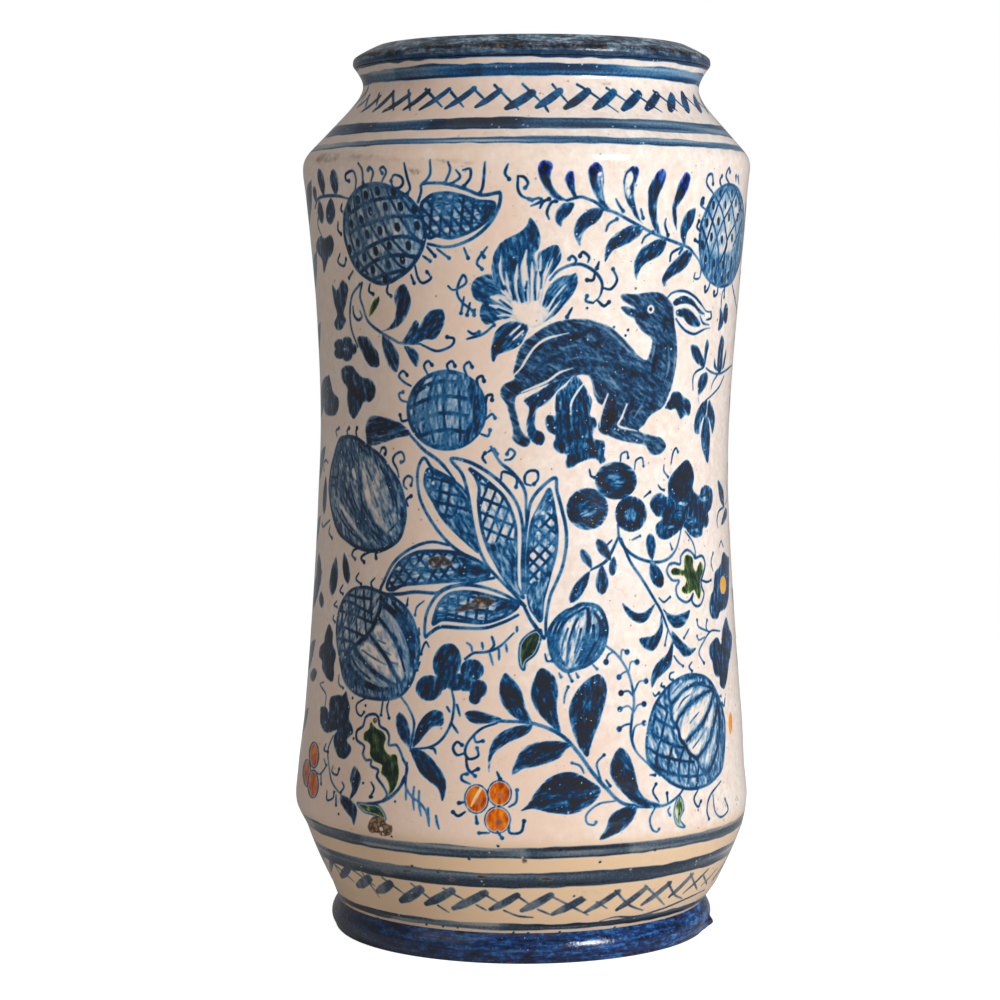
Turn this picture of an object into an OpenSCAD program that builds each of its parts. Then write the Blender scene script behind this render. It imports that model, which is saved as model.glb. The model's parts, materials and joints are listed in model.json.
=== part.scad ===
// Albarello: a waisted, tin-glazed earthenware drug jar with a flared lip, a sloping shoulder and a blue foot.
// The clay is thrown in sections that sit on one another in lapped, luted seams. A glaze coat covers it
// outside, a lining inside, and cobalt bands are sunk flush into the outer coat.
// All radii are of the finished surface. Z is up and the jar stands on z = 0.

/* [Foot] */
// How far the foot's widest part stays inside the lower corner
foot_set_back = 12.6; // [9:0.1:18]
// Depth of the notch where the foot meets the wall
foot_notch_depth = 2.4; // [1:0.1:5]
// Height of the foot up to the notch
foot_h = 10; // [8:0.5:16]
// How far the foot's bottom edge draws in from its largest radius
foot_tuck = 2.4; // [0.5:0.1:3]
// Width of the ring that the jar stands on
foot_ring_w = 14; // [10:0.5:18]
// Depth of the hollow under the floor
recess_h = 4; // [2:0.5:6]
// Bare clay left below the foot's glaze
foot_bare = 1.2; // [0.5:0.1:3]

/* [Body] */
// Radius of the lower corner, before it is rounded
base_r = 78; // [72:0.5:86]
// Height of the sloping wall between the foot and the lower corner
chamfer_h = 33; // [26:0.5:42]
// How far the sloping wall bows out
chamfer_bow = 0.8; // [0:0.1:2]
// Rounding of the lower corner
base_round = 5; // [3:0.5:8]
// How far the waist draws in from the lower corner
waist_depth = 8.5; // [4:0.5:14]
// Height of the waist above the lower corner
waist_rise = 125; // [105:1:145]
// Height of the body between its two corners
body_h = 218.4; // [190:0.2:250]
// How sharply the body draws in at the waist, 1 for straight sides
waist_power = 1.5; // [1.2:0.05:2]
// Thickness of the body's wall, with both glazes
wall_t = 7.5; // [6:0.1:9]
// Thickness of the floor above the hollow
floor_t = 11; // [8:0.5:14]
// Inner rounding between the floor and the wall
floor_round = 7; // [4:0.5:9]

/* [Shoulder and neck] */
// How far the upper corner stays inside the lower corner
shoulder_set_back = 1.9; // [0:0.1:4]
// Rounding of the upper corner
shoulder_round = 3.5; // [2:0.5:5]
// Height of the sloping shoulder
shoulder_h = 21; // [17:0.5:26]
// Radius of the mouth
mouth_r = 50; // [44:0.1:56]
// Thickness of the neck round the mouth, with both glazes
neck_wall = 6.8; // [5.4:0.1:8]
// Length of the curve from the shoulder into the neck
neck_round = 8; // [5:0.5:10]
// Height of the neck up to the lip's edge
neck_h = 11.2; // [9.5:0.1:15]

/* [Lip] */
// How far the lip stands out past the neck
lip_overhang = 3.9; // [3:0.1:7]
// Height of the lip above its edge
lip_h = 5.8; // [5:0.1:8]
// Radius of the rounding along the lip's top
lip_round = 1.6; // [1.2:0.1:2]
// How far the lip flares out inside, above the mouth
lip_flare = 0.6; // [0.3:0.1:1.2]

/* [Glaze] */
// Thickness of the outer glaze
glaze_t = 0.6; // [0.4:0.05:1]
// Thickness of the lining
lining_t = 0.5; // [0.3:0.05:1]
// Depth of a cobalt band in the outer glaze
band_t = 0.25; // [0.1:0.05:0.3]
// Distance from the lip's edge down to the foot of the rim glaze
rim_glaze_drop = 1.4; // [1:0.1:3]
// Distance from the lip's top down to the end of the rim glaze inside
rim_glaze_inside = 7.5; // [6:0.5:9]

/* [Bands] */
// Width of the band below the lip
neck_band_w = 4; // [2:0.1:5]
// Distance from the lip's edge down to that band
neck_band_drop = 3.8; // [3:0.1:6]
// Width of the shoulder's upper band
shoulder_wide_w = 3.7; // [2:0.1:5]
// Distance from the upper corner up to that band
shoulder_wide_rise = 6.8; // [6:0.1:9]
// Width of the shoulder's lower band
shoulder_thin_w = 2.2; // [1:0.1:3]
// Distance from the upper corner up to that band
shoulder_thin_rise = 2; // [1:0.1:2.5]
// Width of the first band below the lower corner
base_band_w = 4; // [2:0.1:5]
// Distance from the lower corner down to that band
base_band_drop = 2.2; // [1:0.1:4]
// Pale gap between the two bands below the lower corner
base_band_gap = 4.9; // [3:0.1:7]
// Width of the second band below the lower corner
base_low_w = 5.2; // [3:0.1:6]
// Width of the thin line above the foot
foot_line_w = 2.4; // [1:0.1:3]
// Distance from the foot's notch up to that line
foot_line_rise = 1; // [0.5:0.1:2]

/* [Sections] */
// Height of the lap at each seam between two sections
lap_h = 4; // [2:0.5:5]
// Height of the seam above the lower corner
base_seam_rise = 9; // [7:0.5:14]
// Distance from the upper corner down to the seam under the shoulder
shoulder_seam_drop = 12; // [9:0.5:16]
// Distance from the top of the shoulder down to the seam under the neck
neck_seam_drop = 5; // [4:0.5:6]
// Distance from the lip's edge down to the seam under the lip
lip_seam_drop = 4.6; // [3.5:0.1:5.5]
// Distance from the foot's widest part in to the floor disc's edge
floor_disc_in = 20.4; // [18:0.1:26]
// Width of the ledge that carries the floor disc
floor_ledge_w = 4; // [2:0.5:6]

/* [Hidden] */
$fn = 96;

CLAY = "#c08a5c";
TIN_WHITE = "#eaddcc";
COBALT = "#2a4a70";
DEEP_COBALT = "#1a2f78";

// Radii of the profile's corners
foot_r = base_r - foot_set_back;
foot_neck_r = foot_r - foot_notch_depth;
waist_r = base_r - waist_depth;
shoulder_r = base_r - shoulder_set_back;
neck_r = mouth_r + neck_wall;
lip_r = neck_r + lip_overhang;
floor_disc_r = foot_r - floor_disc_in;
// Heights of the profile's corners
base_z = foot_h + chamfer_h;
waist_z = base_z + waist_rise;
shoulder_z = base_z + body_h;
neck_z = shoulder_z + shoulder_h;
lip_z = neck_z + neck_h;
height = lip_z + lip_h;
floor_z = recess_h + floor_t;
// Heights of the seams between the clay sections
base_seam_z = base_z + base_seam_rise;
shoulder_seam_z = shoulder_z - shoulder_seam_drop;
neck_seam_z = neck_z - neck_seam_drop;
lip_seam_z = lip_z - lip_seam_drop;
// Where the rim glaze meets the body's glaze outside and the lining inside
rim_glaze_z = lip_z - rim_glaze_drop;
lining_top_z = height - rim_glaze_inside;
// Reach of the cutting windows past the jar
far_r = base_r + foot_r;
// Points along a rounded corner, a bow and the body's side
CORNER_STEPS = 6;
BOW_STEPS = 9;
SIDE_STEPS = 14;
// Where the lip's rounded top begins, in degrees from level
LIP_ARC_START = 65;
// Shares of a height or a rounding that set where a curve is pulled
FOOT_BELLY = 0.42;
NECK_STRAIGHT = 0.3;
LIP_TURN = 0.35;
LIP_CROWN = 0.38;
LIP_UNDERCUT = 0.6;
LIP_BEVEL = [0.25, 0.8];
MOUTH_TURN = 0.6;
// Share of the wall by which the inner shoulder sits below the outer one
SHOULDER_INSET = 0.45;
// Rounding where the shoulder meets the mouth inside, and the straight stretch at the end of the rim glaze
MOUTH_ROUND = 3;
MOUTH_STRAIGHT = 1;

// A point a given distance from p on the way to q
function toward(p, q, d) = p + (q - p) * d / norm(q - p);
// A point between a and b
function mix(a, b, t) = a + (b - a) * t;
// A curve from a to b that a corner at c pulls on
function bend(a, c, b, steps) =
    [for (i = [0:steps]) let (t = i / steps) mix(mix(a, c, t), mix(c, b, t), t)];
// The body's radius at height z: a smooth waist between the two corners
function body_r(z) = z < waist_z
    ? waist_r + (base_r - waist_r) * pow((waist_z - z) / waist_rise, waist_power)
    : waist_r + (shoulder_r - waist_r) * pow((z - waist_z) / (shoulder_z - waist_z), waist_power);
// The body's side from one height to another, drawn in by t
function body_side(z0, z1, t) =
    [for (i = [0:SIDE_STEPS]) let (z = mix(z0, z1, i / SIDE_STEPS)) [body_r(z) - t, z]];
function reversed(list) = [for (i = [len(list) - 1:-1:0]) list[i]];
// The same line without points that repeat
function tidy(list) = [for (i = [0:len(list) - 1]) if (i == 0 || norm(list[i] - list[i - 1]) > 0.001) list[i]];
// The same line moved to its left by t, at right angles to itself
function beside(list, t) =
    [for (i = [0:len(list) - 1])
        let (d = list[min(i + 1, len(list) - 1)] - list[max(i - 1, 0)])
        list[i] + t * [-d[1], d[0]] / norm(d)];
// The radius of a line that climbs, at height z
function radius_at(list, z) = lookup(z, [for (p = list) [p[1], p[0]]]);

// The profile's corners outside
foot_notch = [foot_neck_r, foot_h];
base_corner = [base_r, base_z];
shoulder_corner = [shoulder_r, shoulder_z];
neck_corner = [neck_r, neck_z];
lip_edge = [lip_r, lip_z];
// Where the neck's curve ends and the flare to the lip begins
neck_top = [neck_r, neck_z + neck_h * NECK_STRAIGHT];
lip_under = toward(lip_edge, neck_top, lip_round * LIP_UNDERCUT);
lip_over = lip_edge + lip_round * [-LIP_BEVEL[0], LIP_BEVEL[1]];
lip_centre = [mouth_r + lip_flare + lip_round, height - lip_round];
// Where the lip's sloping top is pulled outward, and where it turns over into the mouth
lip_crown = [lip_over[0], mix(lip_z, height, LIP_CROWN)];
lip_crest = lip_centre + lip_round * [cos(LIP_ARC_START), sin(LIP_ARC_START)];

foot_start = [foot_r - foot_tuck, 0];
foot_pull = [2 * foot_r - (foot_start[0] + foot_neck_r) / 2, foot_h * FOOT_BELLY];
chamfer_top = toward(base_corner, foot_notch, base_round);
chamfer_across = (chamfer_top - foot_notch) / norm(chamfer_top - foot_notch);
chamfer_pull = mix(foot_notch, chamfer_top, 0.5) + 2 * chamfer_bow * [chamfer_across[1], -chamfer_across[0]];

// The outer surface from the foot's bottom edge up to the lip's edge
outside = tidy(concat(
    bend(foot_start, foot_pull, foot_notch, BOW_STEPS),
    bend(foot_notch, chamfer_pull, chamfer_top, BOW_STEPS),
    bend(chamfer_top, base_corner, [body_r(base_z + base_round), base_z + base_round], CORNER_STEPS),
    body_side(base_z + base_round, shoulder_z - shoulder_round, 0),
    bend([body_r(shoulder_z - shoulder_round), shoulder_z - shoulder_round], shoulder_corner,
         toward(shoulder_corner, neck_corner, shoulder_round), CORNER_STEPS),
    bend(toward(neck_corner, shoulder_corner, neck_round), neck_corner, neck_top, BOW_STEPS),
    bend(neck_top, [neck_r, mix(neck_top[1], lip_z, LIP_TURN)], lip_under, CORNER_STEPS),
    bend(lip_under, lip_edge, lip_over, CORNER_STEPS)));
// Over the lip and down inside to the end of the rim glaze
over_lip = tidy(concat(
    bend(lip_over, lip_crown, lip_crest, BOW_STEPS),
    [for (i = [0:BOW_STEPS]) let (a = mix(LIP_ARC_START, 180, i / BOW_STEPS))
        lip_centre + lip_round * [cos(a), sin(a)]],
    bend(lip_centre - [lip_round, 0], [mouth_r + lip_flare / 2, mix(lip_centre[1], lining_top_z, MOUTH_TURN)],
         [mouth_r, lining_top_z + MOUTH_STRAIGHT], CORNER_STEPS),
    [[mouth_r, lining_top_z]]));

// The inner surface from the middle of the floor up to the end of the lining
floor_edge = [foot_neck_r - wall_t, floor_z];
inner_base = [body_r(base_z + base_round) - wall_t, base_z + base_round];
inner_shoulder = [body_r(shoulder_z - shoulder_round) - wall_t, shoulder_z - wall_t * SHOULDER_INSET];
inner_side_z = inner_shoulder[1] - shoulder_round;
shoulder_slope = (neck_r - shoulder_r) / shoulder_h;
mouth_low = [mouth_r, inner_shoulder[1] + (mouth_r - inner_shoulder[0]) / shoulder_slope];
inside = tidy(concat(
    [[0, floor_z]],
    bend(floor_edge - [floor_round, 0], floor_edge, toward(floor_edge, inner_base, floor_round), CORNER_STEPS),
    body_side(inner_base[1], inner_side_z, wall_t),
    bend([body_r(inner_side_z) - wall_t, inner_side_z], inner_shoulder,
         toward(inner_shoulder, mouth_low, shoulder_round), CORNER_STEPS),
    bend(toward(mouth_low, inner_shoulder, MOUTH_ROUND), mouth_low, mouth_low + [0, MOUTH_ROUND], CORNER_STEPS),
    [[mouth_r, lining_top_z]]));

coated = tidy(concat(outside, over_lip));

// The part of a section's plane below a seam, with its lap standing up on the inner side
module below_seam(z) {
    mid_r = (radius_at(outside, z) + radius_at(inside, z)) / 2;
    translate([-far_r, -far_r]) square([far_r * 2, far_r + z]);
    translate([0, -far_r]) square([mid_r, far_r + z + lap_h]);
}

// The cross-section of all the clay
module clay_outline() {
    foot_in_r = foot_r - foot_tuck - foot_ring_w;
    intersection() {
        polygon(concat(
            [[0, recess_h], [foot_in_r - recess_h, recess_h], [foot_in_r, 0], [foot_start[0] - glaze_t, 0]],
            beside(coated, glaze_t),
            reversed(beside(inside, -lining_t))));
        square([far_r, height]);
    }
}

// The outer coat between two heights, from one depth below the surface to another
module coat(z0, z1, depth0, depth1) {
    rotate_extrude() intersection() {
        polygon(concat(beside(outside, depth0), reversed(beside(outside, depth1))));
        translate([0, z0]) square([far_r, z1 - z0]);
    }
}

// A clay section between two seams
module section(seam_low, seam_high) {
    rotate_extrude() difference() {
        intersection() {
            clay_outline();
            below_seam(seam_high);
        }
        below_seam(seam_low);
    }
}

// Where the base wall stands on the foot ring, and where the floor disc drops into the base wall
module foot_seat() {
    square([far_r, recess_h]);
    translate([foot_neck_r - wall_t, 0]) square([far_r, foot_h]);
}

module floor_seat() {
    square([floor_disc_r - floor_ledge_w, floor_z]);
    translate([0, recess_h + floor_t / 2]) square([floor_disc_r, floor_t]);
}

module foot_ring() color(CLAY) rotate_extrude() intersection() {
    clay_outline();
    foot_seat();
}

module floor_disc() color(CLAY) rotate_extrude() intersection() {
    clay_outline();
    floor_seat();
}

module base_wall() color(CLAY) rotate_extrude() difference() {
    intersection() {
        clay_outline();
        below_seam(base_seam_z);
    }
    foot_seat();
    floor_seat();
}

module lower_drum() color(CLAY) section(base_seam_z, waist_z);
module upper_drum() color(CLAY) section(waist_z, shoulder_seam_z);
module shoulder_cone() color(CLAY) section(shoulder_seam_z, neck_seam_z);
module neck_collar() color(CLAY) section(neck_seam_z, lip_seam_z);

module lip_roll() color(CLAY) rotate_extrude() difference() {
    clay_outline();
    below_seam(lip_seam_z);
}

module foot_glaze() color(DEEP_COBALT) coat(foot_bare, foot_h, 0, glaze_t);

module lining() color(TIN_WHITE) rotate_extrude()
    polygon(concat(inside, reversed(beside(inside, -lining_t))));

module rim_glaze() color(DEEP_COBALT) rotate_extrude() intersection() {
    polygon(concat(coated, reversed(beside(coated, glaze_t))));
    union() {
        translate([lip_centre[0], rim_glaze_z]) square([far_r, far_r]);
        translate([0, lining_top_z]) square([lip_centre[0], far_r]);
    }
}

// Lower and upper height of each cobalt band
neck_band_z = [lip_z - neck_band_drop - neck_band_w, lip_z - neck_band_drop];
shoulder_wide_z = [shoulder_z + shoulder_wide_rise, shoulder_z + shoulder_wide_rise + shoulder_wide_w];
shoulder_thin_z = [shoulder_z + shoulder_thin_rise, shoulder_z + shoulder_thin_rise + shoulder_thin_w];
base_upper_z = [base_z - base_band_drop - base_band_w, base_z - base_band_drop];
base_lower_z = [base_upper_z[0] - base_band_gap - base_low_w, base_upper_z[0] - base_band_gap];
foot_line_z = [foot_h + foot_line_rise, foot_h + foot_line_rise + foot_line_w];
band_heights = [neck_band_z, shoulder_wide_z, shoulder_thin_z, base_upper_z, base_lower_z, foot_line_z];

module band(z) color(COBALT) coat(z[0], z[1], 0, band_t);

module neck_band() band(neck_band_z);
module shoulder_band_wide() band(shoulder_wide_z);
module shoulder_band_thin() band(shoulder_thin_z);
module base_band_upper() band(base_upper_z);
module base_band_lower() band(base_lower_z);
module foot_line() band(foot_line_z);

module body_glaze() color(TIN_WHITE) rotate_extrude() difference() {
    intersection() {
        polygon(concat(outside, reversed(beside(outside, glaze_t))));
        translate([0, foot_h]) square([far_r, rim_glaze_z - foot_h]);
    }
    for (z = band_heights)
        intersection() {
            polygon(concat(beside(outside, -glaze_t), reversed(beside(outside, band_t))));
            translate([0, z[0]]) square([far_r, z[1] - z[0]]);
        }
}

foot_ring();
floor_disc();
base_wall();
lower_drum();
upper_drum();
shoulder_cone();
neck_collar();
lip_roll();
foot_glaze();
body_glaze();
rim_glaze();
lining();
neck_band();
shoulder_band_wide();
shoulder_band_thin();
base_band_upper();
base_band_lower();
foot_line();
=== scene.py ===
"""Looks of the albarello: its painted tin glaze, blue rim and foot, lining, light and camera."""

import json
import math

import bpy
import numpy as np
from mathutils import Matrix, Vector


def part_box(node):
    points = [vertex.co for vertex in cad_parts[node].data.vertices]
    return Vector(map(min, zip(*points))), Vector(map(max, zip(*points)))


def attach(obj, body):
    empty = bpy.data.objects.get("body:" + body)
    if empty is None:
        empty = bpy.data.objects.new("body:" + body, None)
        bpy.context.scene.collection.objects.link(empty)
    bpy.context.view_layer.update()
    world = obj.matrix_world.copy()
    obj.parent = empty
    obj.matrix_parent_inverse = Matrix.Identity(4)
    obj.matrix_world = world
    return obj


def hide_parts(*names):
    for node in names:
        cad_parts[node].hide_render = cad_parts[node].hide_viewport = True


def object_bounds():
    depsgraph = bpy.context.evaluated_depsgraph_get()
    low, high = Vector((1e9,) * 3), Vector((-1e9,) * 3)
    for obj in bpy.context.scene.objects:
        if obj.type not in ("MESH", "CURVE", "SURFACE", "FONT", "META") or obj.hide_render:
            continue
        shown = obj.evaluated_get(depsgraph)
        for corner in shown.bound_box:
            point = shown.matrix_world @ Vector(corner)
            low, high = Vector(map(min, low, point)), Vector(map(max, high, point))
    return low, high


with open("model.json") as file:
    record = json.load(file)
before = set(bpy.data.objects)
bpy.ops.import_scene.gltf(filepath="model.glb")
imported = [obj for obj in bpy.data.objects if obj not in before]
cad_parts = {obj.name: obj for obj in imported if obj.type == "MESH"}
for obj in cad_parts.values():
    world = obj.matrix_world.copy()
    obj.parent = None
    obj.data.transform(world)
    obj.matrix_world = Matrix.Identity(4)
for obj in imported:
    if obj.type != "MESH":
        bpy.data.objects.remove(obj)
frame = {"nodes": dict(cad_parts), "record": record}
cad_box = [list(corner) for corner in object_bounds()]

MM = 0.001

# The photograph's camera: pixels, metres and radians
PHOTO_SIDE = 1000
FOCAL_PX = 2769
EYE = np.array([0, -0.9466, 0.2145])
PITCH = math.radians(-4.14)
YAW = math.radians(0.444)
SENSOR_MM = 36
FORWARD = np.array([-math.sin(YAW) * math.cos(PITCH), math.cos(YAW) * math.cos(PITCH), math.sin(PITCH)])
RIGHT = np.array([math.cos(YAW), math.sin(YAW), 0])
UP = np.cross(RIGHT, FORWARD)

# How far the thrown jar stands off its axis, to the right: pairs of height and shift in mm
LEAN = [
    (0, 0), (10, 0), (16, 1.0), (36, 1.1), (43, 0), (57, 0), (72, 0.6), (150, 0.6), (185, 1.4), (215, 1.9),
    (240, 1.8), (256, 1.5), (270, 2.2), (280, 2.6), (288, 3.3), (300, 3.4),
]
# Spacing of the skin's points, where the photo shows it and behind
FRONT_STEP = 0.32
BACK_STEP = 0.46
# Radius at which the painted surface is unrolled, and a photo pixel's size on it
UNROLL_MM = 73
PX = 0.316
# Softness of a brush edge, and how deep inside a shape its edge is felt
SOFT = 0.42
DEEPEST = 4.0

# Heights and nodes that the frame gives
nodes = frame["nodes"]
subparts = frame["record"]["subparts"]
BANDS = [part["node"] for part in subparts if part["material_slot"] == "cobalt_band"]
COATS = ["body_glaze", "foot_glaze", "rim_glaze", *BANDS]
TOP_Z = cad_box[1][2]
FOOT_LOW_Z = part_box("foot_glaze")[0].z
FOOT_TOP_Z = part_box("foot_glaze")[1].z
RIM_LOW_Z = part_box("body_glaze")[1].z
LINING_TOP_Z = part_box("lining")[1].z
FLOOR_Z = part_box("floor_disc")[1].z
OUTSIDE_R = 2 * cad_box[1][0]


# Profile of the jar, measured on the CAD solids


def hit(names, start, way):
    """The nearest point of these CAD nodes along a ray, or None."""
    found = [nodes[name].ray_cast(Vector(start), Vector(way)) for name in names]
    points = [point for ok, point, _, _ in found if ok]
    return min(points, key=lambda p: (p - Vector(start)).length, default=None)


def outer_radius(z):
    point = hit(COATS, (0, -OUTSIDE_R, z), (0, 1, 0))
    return -point.y


def inner_radius(z, names):
    point = hit(names, (0, 0, z), (0, -1, 0))
    return -point.y


def softened(values, spacing, spread):
    """The same values, smoothed over a spread, with their ends kept."""
    reach = int(3 * spread / spacing) + 1
    kernel = np.exp(-0.5 * (np.arange(-reach, reach + 1) * spacing / spread) ** 2)
    left = 2 * values[0] - values[reach:0:-1]
    right = 2 * values[-1] - values[-2:-reach - 2:-1]
    return np.convolve(np.concatenate([left, values, right]), kernel / kernel.sum(), "valid")


def smoothstep(x):
    t = np.clip(x, 0, 1)
    return t * t * (3 - 2 * t)


PROFILE_STEP = 0.25 * MM
profile_z = np.arange(FOOT_TOP_Z, RIM_LOW_Z, PROFILE_STEP)
measured_r = np.array([outer_radius(z) for z in profile_z])
# The body's long sides are smoothed over a wide stretch, and the corners only a little
BODY_LOW_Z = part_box("lower_drum")[0].z
BODY_HIGH_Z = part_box("upper_drum")[1].z
BLEND_Z = 8 * MM
BODY_SPREAD = 7 * MM
CORNER_SPREAD = 0.7 * MM
on_body = smoothstep((profile_z - BODY_LOW_Z) / BLEND_Z) * smoothstep((BODY_HIGH_Z - profile_z) / BLEND_Z)
profile_r = (softened(measured_r, PROFILE_STEP, CORNER_SPREAD) * (1 - on_body)
             + softened(measured_r, PROFILE_STEP, BODY_SPREAD) * on_body)
profile_path = np.concatenate([[0], np.cumsum(np.hypot(np.diff(profile_r), np.diff(profile_z)))])


def radius_at(z):
    return np.interp(z, profile_z, profile_r)


def path_at(z):
    """Distance up the jar's side from the foot's notch, in mm."""
    return np.interp(z, profile_z, profile_path) / MM


def lean_at(z):
    heights, shifts = np.array(LEAN).T * MM
    return np.interp(z, heights, shifts)


# Lines in the photo, and where they fall on the jar


CURVE_STEP = 1.3


def curve(points, closed=False):
    """A smooth line through these points, with a point every pixel or two."""
    points = [np.array(p, float) for p in points]
    if closed:
        points = [points[-1], *points, points[0], points[1]]
    else:
        points = [2 * points[0] - points[1], *points, 2 * points[-1] - points[-2]]
    line = []
    for p0, p1, p2, p3 in zip(points, points[1:], points[2:], points[3:]):
        count = max(2, int(np.hypot(*(p2 - p1)) / CURVE_STEP))
        t = np.arange(count)[:, None] / count
        bow = (2 * p0 - 5 * p1 + 4 * p2 - p3) * t ** 2
        twist = (3 * p1 - p0 - 3 * p2 + p3) * t ** 3
        line.append(p1 + 0.5 * ((p2 - p0) * t + bow + twist))
    if not closed:
        line.append(points[-2][None])
    return np.concatenate(line)


# Where along a camera ray the jar is looked for, in metres
RAY_NEAR = 0.85
RAY_FAR = 1.0
RAY_STEPS = 300


def cast(points):
    """Where photo pixels fall on the jar: mm round it from the front, and mm up its side."""
    points = np.asarray(points, float)
    across = points[:, :1] - PHOTO_SIDE / 2
    upward = PHOTO_SIDE / 2 - points[:, 1:]
    ways = FORWARD * FOCAL_PX + RIGHT * across + UP * upward
    ways = ways / np.linalg.norm(ways, axis=1)[:, None]
    reach = np.linspace(RAY_NEAR, RAY_FAR, RAY_STEPS)
    at = EYE + reach[:, None, None] * ways
    gap = np.hypot(at[..., 0] - lean_at(at[..., 2]), at[..., 1]) - radius_at(at[..., 2])
    nearest = np.argmin(gap, axis=0)
    inside = gap < 0
    met = inside.any(axis=0)
    after = np.where(met, np.maximum(np.argmax(inside, axis=0), 1), np.maximum(nearest, 1))
    index = np.arange(len(points))
    g0 = gap[after - 1, index]
    g1 = gap[after, index]
    share = np.where(met, g0 / np.where(met, g0 - g1, 1), 1)
    best = at[after - 1, index] + share[:, None] * (at[after, index] - at[after - 1, index])
    theta = np.arctan2(best[:, 0] - lean_at(best[:, 2]), -best[:, 1])
    return np.stack([theta * UNROLL_MM, path_at(best[:, 2])], axis=1)


ELLIPSE_POINTS = 36


def ellipse(centre, radii, tilt=0):
    """An ellipse in the photo, turned clockwise by tilt degrees."""
    turn = np.linspace(0, 2 * math.pi, ELLIPSE_POINTS, endpoint=False)
    c = math.cos(math.radians(tilt))
    s = math.sin(math.radians(tilt))
    x = radii[0] * np.cos(turn)
    y = radii[1] * np.sin(turn)
    return np.stack([centre[0] + c * x - s * y, centre[1] + s * x + c * y], axis=1)


# How full a leaf is, and the share of its length at which it is widest
LEAF_FULLNESS = 1.5
LEAF_BELLY = 0.42


def leaf_outline(tip, base, width, bend):
    """A leaf from tip to base, bowed sideways by bend."""
    tip = np.array(tip, float)
    axis = np.array(base, float) - tip
    side = np.array([-axis[1], axis[0]]) / np.hypot(*axis)
    t = np.linspace(0, 1, 16)
    rise = (t / LEAF_BELLY) ** (LEAF_FULLNESS * LEAF_BELLY)
    fall = ((1 - t) / (1 - LEAF_BELLY)) ** (LEAF_FULLNESS * (1 - LEAF_BELLY))
    half = (width / 2 * rise * fall)[:, None]
    spine = tip + t[:, None] * axis + (4 * bend * np.hypot(*axis) * t * (1 - t))[:, None] * side
    return np.concatenate([spine + half * side, (spine - half * side)[-2:0:-1]])


def long_way(outline):
    """The angle in degrees of an outline's longest direction."""
    points = np.asarray(outline, float)
    spread = np.linalg.eigh(np.cov((points - points.mean(0)).T))[1][:, 1]
    return math.degrees(math.atan2(spread[1], spread[0]))


# Paint: each layer holds a value for every point of a half of the skin; the warm layer holds painted shade on
# the left and low sides, and the grey layer painted shade on the base below its lower corner
LAYERS = ["warm", "cobalt", "vivid", "dull", "grey", "copper", "orange", "wear"]
EVERYWHERE = (slice(None), slice(None))
# Tone of a plain brush line, from 0 for bare glaze to 1 for black
DARK = 0.82
# Share of a brush line over which it narrows to each end
TAPER = 0.3
# Length, width and share of the brush's coarse and fine streaks, in mm
STREAKS = ((3.6, 0.9, 0.45), (1.5, 0.5, 0.55))
# Side of the square of random values that streaks are taken from, and where on it they start
TILE = 256
TILE_START = 500
# Length of a round speck's brush line, in mm
SPECK_LENGTH = 0.03


def blend(corners, fx, fy):
    """A value between four corners: two on the low side, then two on the high side."""
    low = corners[0] * (1 - fx) + corners[1] * fx
    high = corners[2] * (1 - fx) + corners[3] * fx
    return low * (1 - fy) + high * fy


def near_segment(u, v, a, b, pad):
    """Which rows and columns lie near a segment, how far along it they are and how far from it."""
    rows = slice(*np.searchsorted(v, [min(a[1], b[1]) - pad, max(a[1], b[1]) + pad]))
    cols = slice(*np.searchsorted(u, [min(a[0], b[0]) - pad, max(a[0], b[0]) + pad]))
    du = u[cols][None] - a[0]
    dv = v[rows][:, None] - a[1]
    way = b - a
    along = np.clip((du * way[0] + dv * way[1]) / (way @ way + 1e-9), 0, 1)
    return (rows, cols), along, np.hypot(du - along * way[0], dv - along * way[1])


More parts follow.
